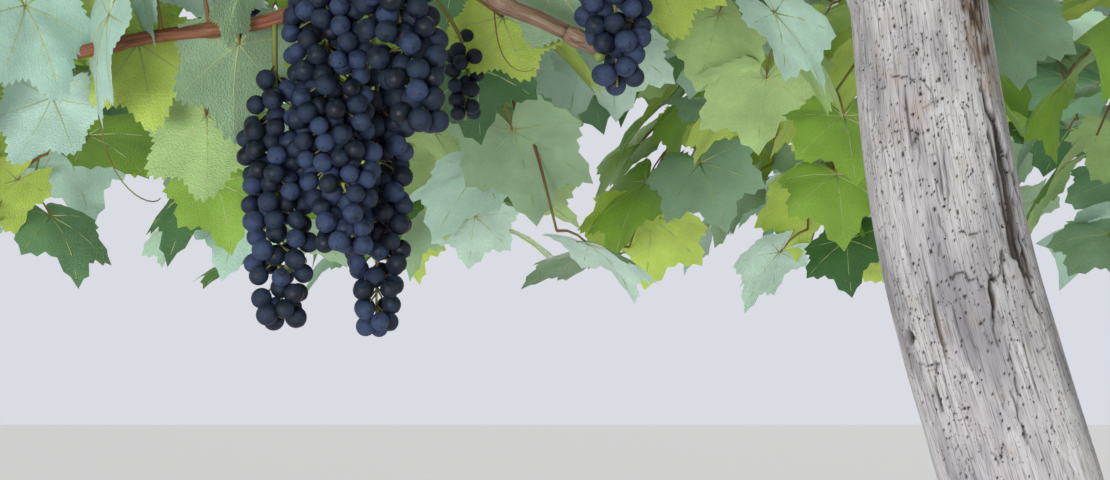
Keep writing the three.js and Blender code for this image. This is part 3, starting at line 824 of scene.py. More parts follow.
def grow_bunch(random, bunch, detail):
    """Packs berries into a bunch from its skin inwards, and hangs it on its stalk; berries seen closely each
    get their own little stalk.
    """
    top, on = np.array(bunch["top"], float), np.array(bunch["on"], float)
    size, lumps = bunch["berry"], (6.28 * random(), 6.28 * random())
    sag = np.array((bunch["lean"], 0, -bunch["length"]))
    placed = np.empty((0, 3))
    tones = list(berries)
    tone_ends = np.cumsum(bunch["tones"]) / sum(bunch["tones"])
    skin = int(bunch["width"] * bunch["length"] / TRY_AREA)
    for inset, part in LAYERS:
        for _ in range(skin // part):
            down, turn = 0.02 + 0.96 * random(), 2 * math.pi * random()
            reach = bunch_reach(bunch, down, turn, lumps) - inset * size
            spare = random()
            if reach < 0 and inset > 1:
                continue
            place = top + sag * down + max(0, reach) * np.array((math.cos(turn), math.sin(turn), 0))
            near = (BERRY["apart"] * size) ** 2
            if len(placed) and np.min(np.sum((placed - place) ** 2, axis=1)) < near:
                continue
            placed = np.vstack((placed, place))
            if inset < 1 and spare < bunch["open"]:
                continue
            girth = 0.5 * size * (1 + spread_of(random, BERRY["uneven"]))
            tone = tones[int(np.searchsorted(tone_ends, random()))]
            add_berry(random, place, top + sag * max(0, down - 0.06), girth, tone, detail)
    line = [on, on + (top - on) * 0.6 + UP * 3, *(top + sag * share for share in (0.2, 0.6, 0.97))]
    stalks.add(*tube(Curve(line).spaced(14), np.linspace(*BUNCH_STALK_RADII, 15), 6))


# Tendrils
def add_tendril(random, start, heading, length):
    """A thread that hangs from its seat and curls more and more towards its end."""
    way, line = unit(heading), [np.array(start, float)]
    axis = unit(np.array((spread_of(random, 1), 1.0, spread_of(random, 0.6))))
    curl = (0.25 + 0.35 * random()) * (1 if random() < 0.5 else -1)
    for i in range(TENDRILS["steps"]):
        share = i / TENDRILS["steps"]
        way = unit(turned(way, axis, curl * share**2) - UP * 0.1 * (1 - share))
        line.append(line[-1] + way * length / TENDRILS["steps"])
    tendrils.add(*tube(line, np.linspace(*TENDRILS["radii"], len(line)), 4))


# Shoots, leaves and bunches of the crown
def dress_leaf(random, leaf, tone):
    """A leaf of the crown, narrower than its solid, and the stalk that holds it."""
    detail = "near" if is_near(leaf["seat"]) else "far"
    notch = leaf["seat"] + leaf["tip"] * leaf["size"] * (LEAF_NOTCH + 0.1 * random())
    add_leaf(leaf, tone, detail, int(random() * 10), leaf["size"] * BLADE_SHARE, notch)
    sides = 4 if detail == "near" else 3
    petioles.add(*tube(bent(leaf["seat"], notch, 5), PETIOLE_RADII, sides))


sprays = []  # each with the seed of what it grows on
for mass, seed in zip(masses, MASS_SEEDS):
    start, heading, centre = mass["start"], mass["heading"], mass["centre"]
    stem = np.array((start - heading * STEM_SUNK, centre, centre + heading * STEM_PAST))
    twigs.add(*tube(stem, STEM_TAPER * mass["radius"], 10))
    sprays += [(seed, spray) for spray in grow_mass(mass, seed)]
for mass, seed in zip(masses, MASS_SEEDS):
    fine = make_random(seed + SEED["fine"])
    droop = HEAVY_DROOP if mass["name"] in HEAVY else 1
    for _, spray in [entry for entry in sprays if entry[0] == seed]:
        found, reach = fine_twigs(fine, spray["line"], droop)
        spray["reach"] = max(spray["reach"], reach)
        sprays += [(seed, twig) for twig in found]
for number, curve in enumerate([*arms.values(), *canes.values()]):
    seed = SEED["fine"] + number
    line = list(curve.spaced(int(curve.length / SHOOT["step"]) + 1))
    sprays += [(seed, twig) for twig in fine_twigs(make_random(seed), line, 1)[0]]

deal = make_random(SEED["deal"])
for seed, spray in sprays:
    if not spray["reach"]:
        continue
    root, tip = spray["radii"]
    line = trimmed(spray["line"], spray["reach"])
    line = Curve(line).spaced(3 * (len(line) - 1))
    twigs.add(*tube(line, np.linspace(root, tip, len(line)), 5 if root > 4 else 4))
    spray_tone = TONE_DEAL[int(deal() * len(TONE_DEAL))]
    for leaf in spray["leaves"]:
        dress_leaf(deal, leaf, "autumn" if deal() < AUTUMN_SHARE else spray_tone)
    if root > FINE["root"]:
        for place in line[3::4]:
            if deal() < TENDRILS["share"]:
                heading = np.array([spread_of(deal, most) for most in (1, 1, 0.6)])
                add_tendril(deal, place, heading, TENDRILS["length"] * (0.6 + 0.8 * deal()))
    if spray["bunch"]:
        random = make_random(seed + SEED["bunch"] + len(spray["line"]))
        grow_bunch(random, {**spray["bunch"], **CROWN_GRAPES}, "near")


# Leaves and bunches that hang in front
def shown_leaf(at, tip, turn, nod, size, tone):
    swing = math.radians(tip)
    along = unit(np.array((math.cos(swing), -math.tan(math.radians(nod)), math.sin(swing))))
    face = turned(unit(FRONT_WAY - along * (FRONT_WAY @ along)), along, math.radians(turn))
    return {"notch": np.array(at, float), "tip": along, "face": face, "size": size, "tone": tone}


def hang_leaves(curve, leaves, first):
    """Leaves at places of their own, each with a stalk from the nearest point of a cane."""
    points = curve.spaced(LIMB_MARKS)[1:]
    for i, words in enumerate(leaves):
        leaf = shown_leaf(**dict(zip(LEAF_WORDS, words)))
        notch = leaf["notch"]
        near = points[np.argmin(np.linalg.norm(points - notch, axis=1))]
        add_leaf(leaf, leaf["tone"], "hero", first + i, leaf["size"], notch)
        petioles.add(*tube(bent(near, notch, 6, 8), np.linspace(*SHOWN_PETIOLE_RADII, 8), 6))


for tendril in SHOWN_TENDRILS:
    add_tendril(make_random(tendril["seed"]), tendril["on"], np.array((0.1, -0.1, -1.0)), tendril["length"])
hang_leaves(long_cane, HANGING_LEAVES, 0)
hang_leaves(right_stem, RIGHT_LEAVES, len(HANGING_LEAVES))
for i, words in enumerate(RIPE_BUNCHES):
    grow_bunch(make_random(SEED["ripe"] + i), dict(zip(BUNCH_WORDS, words)), "hero")


# Woody limbs
NODE = {"first": 20, "swell": 0.3, "half": 7}


def rough(points, scale, stretch):
    """Smooth noise from -1 to 1 at a grid of points, drawn out along their third axis."""
    scaled = points.reshape(-1, 3) * (scale, scale, scale * stretch)
    return np.array([noise.noise(Vector(p)) for p in scaled]).reshape(points.shape[:-1])


def round_places(turn, radius, run):
    """The places of a straight round rod, from turns about it, radii and runs along it."""
    return np.stack((np.cos(turn) * radius, np.sin(turn) * radius, run), -1)


def woody(curve, radii, sides, step, relief, node_gap=0):
    """A limb with its bark's relief, as corners, faces and the straightened place of each corner."""
    rings = int(curve.length / step) + 1
    centres = curve.spaced(rings - 1)
    along = np.linspace(0, curve.length, rings)
    radius = np.linspace(*radii, rings)
    if node_gap:
        off = (along + NODE["first"]) % node_gap - node_gap / 2
        radius = radius * (1 + NODE["swell"] * np.exp(-((off / NODE["half"]) ** 2)))
    turn, run = np.meshgrid(even_turns(sides), along)
    flat = round_places(turn, 1, run / 100)
    reach = radius[:, None] + sum(depth * rough(flat, scale, stretch) for depth, scale, stretch in relief)
    corners, faces = closed_tube(centres, *ring_frames(centres), turn, reach, (centres[:1], centres[-1:]))
    grain = round_places(turn, radius[:, None], run)
    return corners, faces, np.vstack((grain.reshape(-1, 3), (0, 0, 0), (0, 0, curve.length)))


# Relief of the bark: depth, fineness around the limb, and share of that fineness along it
ARM_RELIEF = [(3.0, 1.3, 0.5), (2.2, 4.5, 0.12), (1.2, 11, 0.08)]
CANE_RELIEF = [(0.8, 1.5, 0.6), (0.35, 6, 0.05)]


# Trunk
SHOWN_LOW, SHOWN_HIGH, TRUNK_TOP = 1400, 1850, 1962
ROWS = [(0, SHOWN_LOW, 9), (SHOWN_LOW, SHOWN_HIGH, 1.75), (SHOWN_HIGH, TRUNK_TOP, 5)]
COLUMNS = 216
CROWDED = 0.34  # how much closer the columns stand at the front than evenly
WOOD = 62  # the radius that degrees round the trunk are turned into millimetres with
# Cracks: width, depth and darkness, which is painted shade in the crack, then degrees round from the front
# and height at points along each
CRACKS = [
    (2.1, 5, 1, [
        (40, 1747), (39, 1729), (46, 1716), (52, 1712), (54, 1694), (56, 1677), (55, 1644), (52, 1628),
    ]),
    (1.6, 4, 0.9, [(52, 1628), (50, 1612), (48, 1598), (45, 1586), (47, 1568), (49, 1556)]),
    (2.6, 4, 0.95, [(53, 1688), (55, 1678), (56, 1668)]),
    (2.4, 3, 0.7, [(27, 1611), (23, 1601), (22, 1588)]),
    (1.7, 4, 1, [(13, 1593), (10, 1592), (8, 1586), (8, 1580), (7, 1573), (5, 1564)]),
    (0.7, 2, 0.7, [(5, 1564), (3, 1559), (2, 1550), (2, 1543)]),
    (0.8, 2, 0.7, [(8, 1604), (10, 1599), (12, 1593), (15, 1593), (19, 1597), (22, 1602)]),
    (0.9, 2, 0.75, [(-17, 1600), (-13, 1603), (-9, 1603), (-6, 1602), (-5, 1597), (-3, 1595), (1, 1597)]),
    (0.9, 2, 0.7, [(-4, 1633), (-1, 1631), (4, 1629), (9, 1629), (11, 1631)]),
    (0.9, 2, 0.7, [(11, 1542), (10, 1535), (9, 1527), (8, 1518), (7, 1510), (7, 1504)]),
    (0.8, 2, 0.7, [(2, 1509), (2, 1492), (2, 1477), (2, 1465)]),
    (1.3, 2.4, 0.75, [(-47, 1543), (-51, 1532), (-54, 1523), (-55, 1507)]),
    (0.8, 1.6, 0.6, [(-48, 1484), (-47, 1476), (-46, 1467), (-45, 1458)]),
    (1.2, 1.8, 0.6, [(-68, 1607), (-68, 1598), (-68, 1584)]),
    (0.8, 1.6, 0.5, [(-61, 1587), (-61, 1576), (-59, 1568)]),
    (1.0, 1.6, 0.6, [(-62, 1544), (-54, 1542), (-48, 1541), (-43, 1542)]),
    (0.7, 1.6, 0.6, [(-8, 1789), (-9, 1777), (-10, 1765), (-11, 1750), (-6, 1737), (-6, 1725)]),
    (0.7, 1.4, 0.5, [(-4, 1738), (-5, 1719), (-5, 1692), (-6, 1671), (-7, 1653)]),
    (0.8, 1.6, 0.7, [(-40, 1761), (-35, 1759), (-26, 1757), (-20, 1754)]),
    (0.8, 1.6, 0.6, [(-21, 1712), (-25, 1708), (-27, 1703)]),
]
WANDER = 2.2  # how far a crack's edges stray from its line
# The decayed side: its left and right limits in degrees at heights
DECAY_LEFT = [(1560, 44), (1594, 38), (1617, 29), (1668, 31), (1707, 37), (1730, 39)]
DECAY_RIGHT = [(1560, 47), (1595, 55), (1628, 64), (1668, 74), (1716, 54), (1730, 43)]
DECAY_DEPTH = 2.2
KNOT = {"at": (-68, 1565), "wide": 6.5, "tall": 5.4, "depth": 7, "rim": 1.2}
FINE_CRACKS = 240
CRACK_STEPS = 5
DOWN, ACROSS = 0.14, 2.5  # how much a fine crack runs sideways for each step down
HOLES = {"shown": 560, "rest": 700}
HOLE_DEPTH = 2.2
WIDE_HOLE = {"radius": 1.5, "depth": 2.6}
WIDE_HOLES = [
    (-15, 1774), (-16, 1742), (-31, 1798), (-39, 1817), (-12, 1752), (-24, 1727), (-14, 1713),
    (0, 1751), (-19, 1653), (-28, 1623), (-45, 1617), (-11, 1585), (-5, 1563), (-34, 1505),
    (-31, 1505), (-34, 1498), (-7, 1482), (-18, 1464), (-50, 1455),
]
STAIN = {"left": 22, "right": 64, "low": 1738, "stray": 14}
# Old bark starts at these heights of the foot and the fork, and so many radians round from the front
FOOT_BARK, FORK_BARK, BACK_BARK = 300, 1885, 2.1


def clipped(values):
    return np.clip(values, 0, 1)


def reading(table, place):
    return np.interp(place, [row[0] for row in table], [row[1] for row in table])


def path_distance(across, height, path):
    """Distance in millimetres from each place on the unrolled trunk to a path on it."""
    marks = np.array([(math.radians(turn) * WOOD, z) for turn, z in path])
    best = np.full(across.shape, 1e9)
    for a, b in zip(marks, marks[1:]):
        way = b - a
        share = np.clip(((across - a[0]) * way[0] + (height - a[1]) * way[1]) / (way @ way), 0, 1)
        best = np.minimum(best, np.hypot(across - a[0] - share * way[0], height - a[1] - share * way[1]))
    return best


class TrunkSkin:
    """The trunk's surface as a grid: how far each place stands out, and how much of each finish it has."""

    def __init__(self):
        self.heights = np.concatenate([*(np.arange(*rows) for rows in ROWS), [TRUNK_TOP]])
        even = even_turns(COLUMNS)
        turn = even - CROWDED * np.sin(even)
        self.turn = np.where(turn > math.pi, turn - 2 * math.pi, turn)
        self.angle, self.height = np.meshgrid(self.turn, self.heights)
        self.across, self.degrees = self.angle * WOOD, np.degrees(self.angle)
        self.flat = round_places(self.angle, 1, self.height / 100)
        self.ridges = rough(self.flat, 5.5, 0.1)
        self.fibres = rough(self.flat, 17, 0.07)
        self.astray = rough(self.flat + 11, 9, 0.9)
        self.frayed = rough(self.flat + 13, 15, 0.5)
        self.lift = 2.0 * rough(self.flat, 1.1, 0.45) + 1.1 * self.ridges + 0.6 * self.fibres
        self.decay_and_shade = np.zeros(self.angle.shape)

    def sink(self, depth, dark, shape, rows=slice(None)):
        """Presses a shape into the wood, and darkens it with painted shade."""
        self.lift[rows] -= depth * shape
        self.decay_and_shade[rows] = np.maximum(self.decay_and_shade[rows], dark * shape)

    def add_bark(self):
        """Old bark that still clings to the foot, the fork and the back of the trunk."""
        foot = np.clip(1.2 - self.height / FOOT_BARK, -1, 1)
        fork = np.clip((self.height - FORK_BARK) / 45, -1, 1)
        back = np.clip((np.abs(self.angle) - BACK_BARK) / 0.5, -1, 0.2)
        patches, strips = rough(self.flat + 7, 1.6, 0.5), rough(self.flat + 3, 2.6, 0.07)
        ends = np.maximum(foot, fork) + 0.4 * patches + 1.3 * strips + 0.8 * self.fibres
        self.bark = np.maximum(clipped(5 * ends), clipped(7 * (back - 0.25 + strips)))
        self.lift += self.bark * (2.0 + 2.2 * np.abs(self.ridges) * 2 + 1.4 * self.fibres)

    def cut_cracks(self):
        # A crack's darkness is painted shade in it
        for width, depth, dark, path in CRACKS:
            edge = (self.across + WANDER * self.astray, self.height + WANDER * self.frayed)
            breadth = width * np.clip(1 + 1.4 * self.frayed, 0.45, 2)
            self.sink(depth, dark, np.exp(-((path_distance(*edge, path) / breadth) ** 2)))

    def cut_fine_cracks(self):
        random = make_random(SEED["cracks"])
        for _ in range(FINE_CRACKS):
            path = fine_crack(random)
            rows = (self.heights > path[-1][1] - 8) & (self.heights < path[0][1] + 8)
            away = path_distance(self.across[rows], self.height[rows], path)
            width, depth = 0.6 + 0.4 * random(), 0.6 + 1.1 * random()
            # The darkness of a fine crack is painted shade in it
            self.sink(depth, 0.15 + 0.4 * random(), np.exp(-((away / width) ** 2)), rows)

    def sink_decay(self):
        """The decayed side, sunk and dark, with its fibres showing."""
        height, low, high = self.height, DECAY_LEFT[0][0], DECAY_LEFT[-1][0]
        inside = clipped((height - low) / 14) * clipped((high - height) / 16)
        inside *= clipped((self.degrees - reading(DECAY_LEFT, height) + 5 * self.astray) / 3)
        inside *= clipped((reading(DECAY_RIGHT, height) - self.degrees + 6 * self.astray) / 4)
        self.lift -= inside * (DECAY_DEPTH + 3 * self.fibres + 2 * self.frayed)
        dark = np.clip(0.6 + 1.3 * self.fibres + 0.8 * self.ridges, 0.22, 0.95)
        self.decay_and_shade = np.maximum(self.decay_and_shade, inside * dark)

    def cut_knot(self):
        """An upright hole with a raised rim, darkened inside with painted shade."""
        turned_to, up = KNOT["at"]
        across = (self.across - math.radians(turned_to) * WOOD + self.astray) / KNOT["wide"]
        away = np.hypot(across, (self.height - up + self.frayed) / KNOT["tall"])
        self.sink(KNOT["depth"], 1, np.exp(-(away**4)))
        self.lift += KNOT["rim"] * np.exp(-((away - 1.5) ** 2) * 6)

    def cut_holes(self):
        """Round holes that borers left: some wide ones, and many as small as one corner, each darkened inside
        with painted shade.
        """
        for turned_to, up in WIDE_HOLES:
            away = np.hypot(self.across - math.radians(turned_to) * WOOD, self.height - up)
            self.sink(WIDE_HOLE["depth"], 1, np.exp(-((away / WIDE_HOLE["radius"]) ** 4)))
        random = make_random(SEED["holes"])
        for number in range(HOLES["shown"] + HOLES["rest"]):
            shown = number < HOLES["shown"]
            at_turn = spread_of(random, 1.45 if shown else math.pi)
            at_height = SHOWN_LOW + 20 + 420 * random() ** 0.72 if shown else 260 + 1600 * random()
            row = int(np.argmin(np.abs(self.heights - at_height)))
            column = int(np.argmin(np.abs(self.turn - at_turn)))
            if self.bark[row, column] <= 0.3:
                self.lift[row, column] -= HOLE_DEPTH
                self.decay_and_shade[row, column] = 1

    def add_stain(self):
        """A brown stain with pits, high on the right; the pits are darkened with painted shade."""
        stray = STAIN["stray"] * self.frayed
        stain = clipped((self.degrees - STAIN["left"] - stray) / 14)
        stain *= clipped((STAIN["right"] - self.degrees + stray) / 16)
        stain *= clipped((self.height - STAIN["low"]) / 50)
        mottled = 0.75 + 1.5 * self.astray + 1.6 * self.frayed + 1.2 * self.fibres
        self.stain = clipped(stain * mottled)
        pits = clipped(5 * (self.frayed + self.fibres) - 1)
        self.sink(1.0, 0.7, clipped(self.stain * pits))


def fine_crack(random):
    """The path of a fine crack: most run down the trunk, and some are short and run across."""
    at = [spread_of(random, 180), 60 + 1840 * random()]
    if random() < 0.55:
        at = [spread_of(random, 80), SHOWN_LOW + (SHOWN_HIGH - SHOWN_LOW) * random()]
    length, sideways, path = 10 + 60 * random() ** 2, DOWN, [tuple(at)]
    if random() < 0.2:
        length, sideways = 6 + 8 * random(), ACROSS
    slant = sideways * length / CRACK_STEPS * (1 if length % 2 < 1 else -1) * 0.4
    for _ in range(CRACK_STEPS):
        at[1] -= length / CRACK_STEPS / (1 + sideways)
        at[0] += math.degrees((spread_of(random, 1.6) + slant) / WOOD)
        path.append(tuple(at))
    return path


def trunk_frames(heights):
    """The trunk's centres at heights, with the ways up it, to its front and to its right there."""
    marks = trunk_curve.spaced(400)
    shares = np.interp(heights, marks[:, 2], np.linspace(0, 1, 401))
    centres = np.array([trunk_curve.at(share) for share in shares])
    ways = np.array([trunk_curve.heading(share) for share in shares])
    upright = clipped(1 - heights / 200)[:, None]
    ways = ways * (1 - upright) + UP * upright
    ways /= np.linalg.norm(ways, axis=1)[:, None]
    fronts = FRONT_WAY - ways * (ways @ FRONT_WAY)[:, None]
    fronts /= np.linalg.norm(fronts, axis=1)[:, None]
    return centres, ways, fronts, np.cross(ways, fronts)


def trunk_piece():
    skin = TrunkSkin()
    skin.add_bark()
    skin.cut_cracks()
    skin.cut_fine_cracks()
    skin.sink_decay()
    skin.cut_knot()
    skin.cut_holes()
    skin.add_stain()
    angle, height = skin.angle, skin.height
    fade = np.clip(1 - height / FLARE["height"], 0, None) ** 2
    lobes = np.cos(FLARE["lobes"] * (math.pi / 2 - angle))
    radius = reading(TRUNK_RADIUS, height) * (1 + FLARE["depth"] * fade * lobes)
    reach = radius + skin.lift * clipped((height - 4) / 20)
    centres, ways, fronts, rights = trunk_frames(skin.heights)
    ends = (centres[:1], centres[-1:] + ways[-1:] * 4)
    corners, faces = closed_tube(centres, fronts, rights, angle, reach, ends)
    corners[:, 2] = np.maximum(corners[:, 2], 0)
    pile = Pile()
    pile.add(corners, faces)
    grain = round_places(angle, WOOD, height).reshape(-1, 3)
    pile.layers["grain"] = np.vstack((grain, (0, 0, 0), (0, 0, TRUNK_TOP))) * MM
    # The decay layer holds the rotten wood of the decayed side and the painted shade of cracks, holes, the
    # knot and pits
    for name, values, end in (("decay_and_shade", skin.decay_and_shade, 0), ("stain", skin.stain, 0), ("bark", skin.bark, 1)):
        pile.layers[name] = np.append(values.ravel(), (end, end))
    return pile


# Materials
def linear(code, gain=1.0):
    """A colour written as 0xRRGGBB, in the renderer's linear numbers."""
    shares = [(code >> shift & 255) / 255 for shift in (16, 8, 0)]
    return (*(gain * (s / 12.92 if s < 0.04 else ((s + 0.055) / 1.055) ** 2.4) for s in shares), 1.0)


class Surface:
    """A material built from nodes round one shader."""

    def __init__(self, name, roughness, **settings):
        self.material = bpy.data.materials.new(name)
        self.material.use_nodes = True
        self.tree = self.material.node_tree
        self.shader = self.tree.nodes["Principled BSDF"]
        self.shader.inputs["Roughness"].default_value = roughness
        for socket, value in settings.items():
            self.shader.inputs[socket.replace("_", " ")].default_value = value

    def add(self, kind, inputs=(), **settings):
        node = self.tree.nodes.new(kind)
        for name, value in settings.items():
            setattr(node, name, value)
        for socket, value in dict(inputs).items():
            self.feed(node.inputs[socket], value)
        return node

    def feed(self, socket, value):
        if isinstance(value, bpy.types.NodeSocket):
            self.tree.links.new(value, socket)
        else:
            socket.default_value = value

    def layer(self, name, output="Fac"):
        return self.add("ShaderNodeAttribute", attribute_name=name).outputs[output]

    def places(self):
        return self.add("ShaderNodeTexCoord").outputs["Object"]

    def scaled(self, vector, scale):
        return self.add("ShaderNodeMapping", {"Vector": vector, "Scale": scale}).outputs[0]

    def noise(self, vector, scale, detail=3, rough=0.55):
        inputs = {"Vector": vector, "Scale": scale, "Detail": detail, "Roughness": rough}
        return self.add("ShaderNodeTexNoise", inputs).outputs["Fac"]

    def streaks(self, grain, across, along, detail=3, rough=0.55):
        """Noise that is drawn out along the grain."""
        return self.noise(self.scaled(grain, (across, across, along)), 1, detail, rough)

    def dots(self, vector, scale):
        return self.add("ShaderNodeTexVoronoi", {"Vector": vector, "Scale": scale}).outputs

    def ramp(self, value, stops):
        node = self.add("ShaderNodeValToRGB", {"Fac": value})
        ramp = node.color_ramp
        while len(ramp.elements) < len(stops):
            ramp.elements.new(0.5)
        for element, (place, code) in zip(ramp.elements, stops):
            element.position = place
            element.color = linear(code)
        return node.outputs["Color"]

    def between(self, value, low, high, out_low=0.0, out_high=1.0):
        inputs = {"Value": value, "From Min": low, "From Max": high, "To Min": out_low, "To Max": out_high}
        return self.add("ShaderNodeMapRange", inputs).outputs[0]

    def mixed(self, share, first, second):
        """A mix of two colours, each from a node or written as a code."""
        node = self.add("ShaderNodeMix", {0: share}, data_type="RGBA")
        for socket, value in ((node.inputs[6], first), (node.inputs[7], second)):
            self.feed(socket, linear(value) if isinstance(value, int) else value)
        return node.outputs[2]

    def sum(self, first, second, operation="ADD"):
        return self.add("ShaderNodeMath", {0: first, 1: second}, operation=operation).outputs[0]

    def product(self, first, second):
        return self.sum(first, second, "MULTIPLY")

    def finish(self, colour, height=None, depth=0.001, strength=1.0):
        self.feed(self.shader.inputs["Base Color"], colour)
        if height is not None:
            bump = self.add("ShaderNodeBump", {"Height": height, "Distance": depth, "Strength": strength})
            self.feed(self.shader.inputs["Normal"], bump.outputs[0])
        return self.material


def trunk_material():
    s = Surface("weathered_wood", 0.86, Specular_IOR_Level=0.25)
    grain = s.layer("grain", "Vector")
    streak = s.streaks(grain, 210, 14, 5, 0.7)
    fibre = s.streaks(grain, 860, 42, 3, 0.6)
    wood = s.ramp(s.streaks(grain, 34, 5, 4), [(0.3, 0xAFA7AC), (0.46, 0xCFC8CC), (0.62, 0xDDD8DB)])
    wood = s.mixed(s.between(s.streaks(grain, 20, 8), 0.5, 0.66, 0, 0.6), wood, 0x86828A)
    wood = s.mixed(s.between(s.streaks(grain, 30, 22), 0.56, 0.72, 0, 0.45), wood, 0xBDAA98)
    wood = s.mixed(s.between(streak, 0.44, 0.3), wood, 0x7F777A)
    wood = s.mixed(s.between(fibre, 0.5, 0.3, 0, 0.7), wood, 0x5E5658)
    # Small round holes, darkened inside with painted shade and sunk by the bump
    dots = s.dots(grain, 150)
    chosen = s.add("ShaderNodeSeparateColor", {0: dots["Color"]}).outputs[0]
    shaded_hole = s.product(s.between(dots["Distance"], 0.13, 0.08), s.between(chosen, 0.5, 0.52))
    wood = s.mixed(shaded_hole, wood, 0x2A211C)
    speck = s.between(s.dots(s.scaled(grain, (1, 1, 0.6)), 360)["Distance"], 0.26, 0.14, 0, 0.75)
    crowded = s.between(s.streaks(grain, 40, 26, 2), 0.46, 0.58)
    wood = s.mixed(s.product(speck, crowded), wood, 0x5A4A44)
    wood = s.mixed(s.layer("stain"), wood, 0x86705C)
    # Rotten wood of the decayed side, and painted shade in cracks, holes, the knot and pits, from the decay
    # layer
    rotten_and_shade = s.ramp(streak, [(0.3, 0x1A1412), (0.66, 0x5C4F49)])
    wood = s.mixed(s.between(s.layer("decay_and_shade"), 0.08, 0.75), wood, rotten_and_shade)
    shag = s.ramp(streak, [(0.3, 0x2A2320), (0.5, 0x62564D), (0.7, 0x9A8B7E)])
    colour = s.mixed(s.layer("bark"), wood, shag)
    height = s.sum(s.sum(streak, s.product(fibre, 0.6)), s.product(shaded_hole, -1.2))
    return s.finish(colour, height, 0.0011, 0.7)


def bark_material():
    s = Surface("old_bark", 0.9, Specular_IOR_Level=0.2)
    grain = s.layer("grain", "Vector")
    streak = s.streaks(grain, 170, 14, 4, 0.65)
    fibre = s.streaks(grain, 700, 36, 2, 0.6)
    colour = s.ramp(streak, [(0.28, 0x1B1512), (0.48, 0x463930), (0.62, 0x6E5C4C), (0.78, 0x9A8A78)])
    colour = s.mixed(s.between(fibre, 0.5, 0.3, 0, 0.6), colour, 0x120E0C)
    return s.finish(colour, s.sum(streak, s.product(fibre, 0.5)), 0.002, 0.9)


def cane_material(name, dark, middle, light):
    s = Surface(name, 0.5, Specular_IOR_Level=0.4)
    grain = s.layer("grain", "Vector")
    streak = s.streaks(grain, 420, 22, 3, 0.6)
    colour = s.ramp(streak, [(0.25, dark), (0.5, middle), (0.75, light)])
    colour = s.mixed(s.between(s.streaks(grain, 30, 20), 0.48, 0.68, 0, 0.7), colour, 0x6B4B35)
    return s.finish(colour, streak, 0.0006, 0.6)


def green_material(name, young, old, roughness):
    s = Surface(name, roughness, Specular_IOR_Level=0.4)
    fine = s.noise(s.places(), 420, 3)
    colour = s.mixed(s.between(s.noise(s.places(), 14, 2), 0.42, 0.6), young, old)
    colour = s.mixed(s.between(fine, 0.4, 0.7, 0, 0.15), colour, old)
    return s.finish(colour, fine, 0.0003, 0.5)


TOP_LOOK = {"rough": 0.48, "gloss": 0.45, "net": 0x9DB98A, "relief": 0.4}
UNDER_LOOK = {"rough": 0.62, "gloss": 0.3, "net": 0xC9D6A8, "relief": 0.55}


def leaf_material(name, code, look):
    s = Surface(name, look["rough"], Specular_IOR_Level=look["gloss"])
    here = s.places()
    fine = s.noise(here, 240, 3, 0.6)
    inputs = {"Vector": here, "Scale": 330}
    cells = s.add("ShaderNodeTexVoronoi", inputs, feature="DISTANCE_TO_EDGE").outputs["Distance"]
    colour = s.mixed(s.between(s.noise(here, 26, 3), 0.3, 0.7), linear(code, 0.84), linear(code, 1.14))
    colour = s.mixed(s.between(fine, 0.4, 0.75, 0, 0.2), colour, linear(code, 0.7))
    colour = s.mixed(s.between(cells, 0.1, 0, 0, 0.09), colour, look["net"])
    return s.finish(colour, s.sum(s.between(cells, 0, 0.25), fine), 0.0007, look["relief"])


# Ripe skins: the skin, the bloom on it, and how much more of it the bloom covers
SKINS = {
    "dark": (0x121721, 0x263246, 0.19),
    "blue": (0x131A27, 0x2C3A53, 0.22),
    "bloom": (0x192034, 0x3D4D70, 0.28),
}


def grape_material(name, skin, bloom, cover):
    s = Surface(name, 0.6, Specular_IOR_Level=0.35)
    here = s.places()
    smear = s.noise(here, 260, 3, 0.6)
    speck = s.noise(here, 1100, 2)
    dust = s.between(s.noise(here, 80, 4, 0.62), 0.6 - cover, 0.78 - cover, 0.1, 1)
    dust = s.product(dust, s.between(smear, 0.3, 0.62, 0.55, 1))
    dust = s.product(dust, s.between(speck, 0.25, 0.6, 0.8, 1))
    s.feed(s.shader.inputs["Roughness"], s.between(dust, 0, 1, 0.4, 0.8))
    return s.finish(s.mixed(dust, skin, bloom), s.sum(speck, smear), 0.0002, 0.35)


# Pieces
def limb_piece(name, curve, radii, sides, step, relief, material, slot, node_gap=0):
    pile = Pile()
    corners, faces, grain = woody(curve, radii, sides, step, relief, node_gap)
    pile.add(corners, faces)
    pile.layers["grain"] = grain * MM
    pile.piece(name + "_bark", material, slot, [name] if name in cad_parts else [])


fine_nodes = [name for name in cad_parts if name.startswith(("foliage", "hanging"))]
bark = bark_material()
cane_bark = cane_material("cane_bark", 0x5A2C1C, 0x99583D, 0xC08662)
old_cane = cane_material("old_cane", 0x4B3A2E, 0x8C715C, 0xB59B83)
trunk_piece().piece("trunk_wood", trunk_material(), "weathered_wood", ["trunk"])
for name, curve in arms.items():
    limb_piece(name, curve, ARM_RADII, 40, 5, ARM_RELIEF, bark, "old_bark")
for name, curve in canes.items():
    limb_piece(name, curve, CANE["radii"], 14, 6, CANE_RELIEF, cane_bark, "cane_bark", 88)
limb_piece("spur_left", spur, SPUR_RADII, 16, 4, CANE_RELIEF, old_cane, "cane_bark", 60)
limb_piece("cane_hanging_right", right_cane, RIGHT_CANE_RADII, 16, 4, CANE_RELIEF, old_cane, "cane_bark", 70)
limb_piece("long_cane", long_cane, LONG_CANE_RADII, 16, 3, CANE_RELIEF, cane_bark, "cane_bark", 78)
limb_piece("right_stem", right_stem, RIGHT_STEM_RADII, 12, 3, CANE_RELIEF, old_cane, "cane_bark", 60)

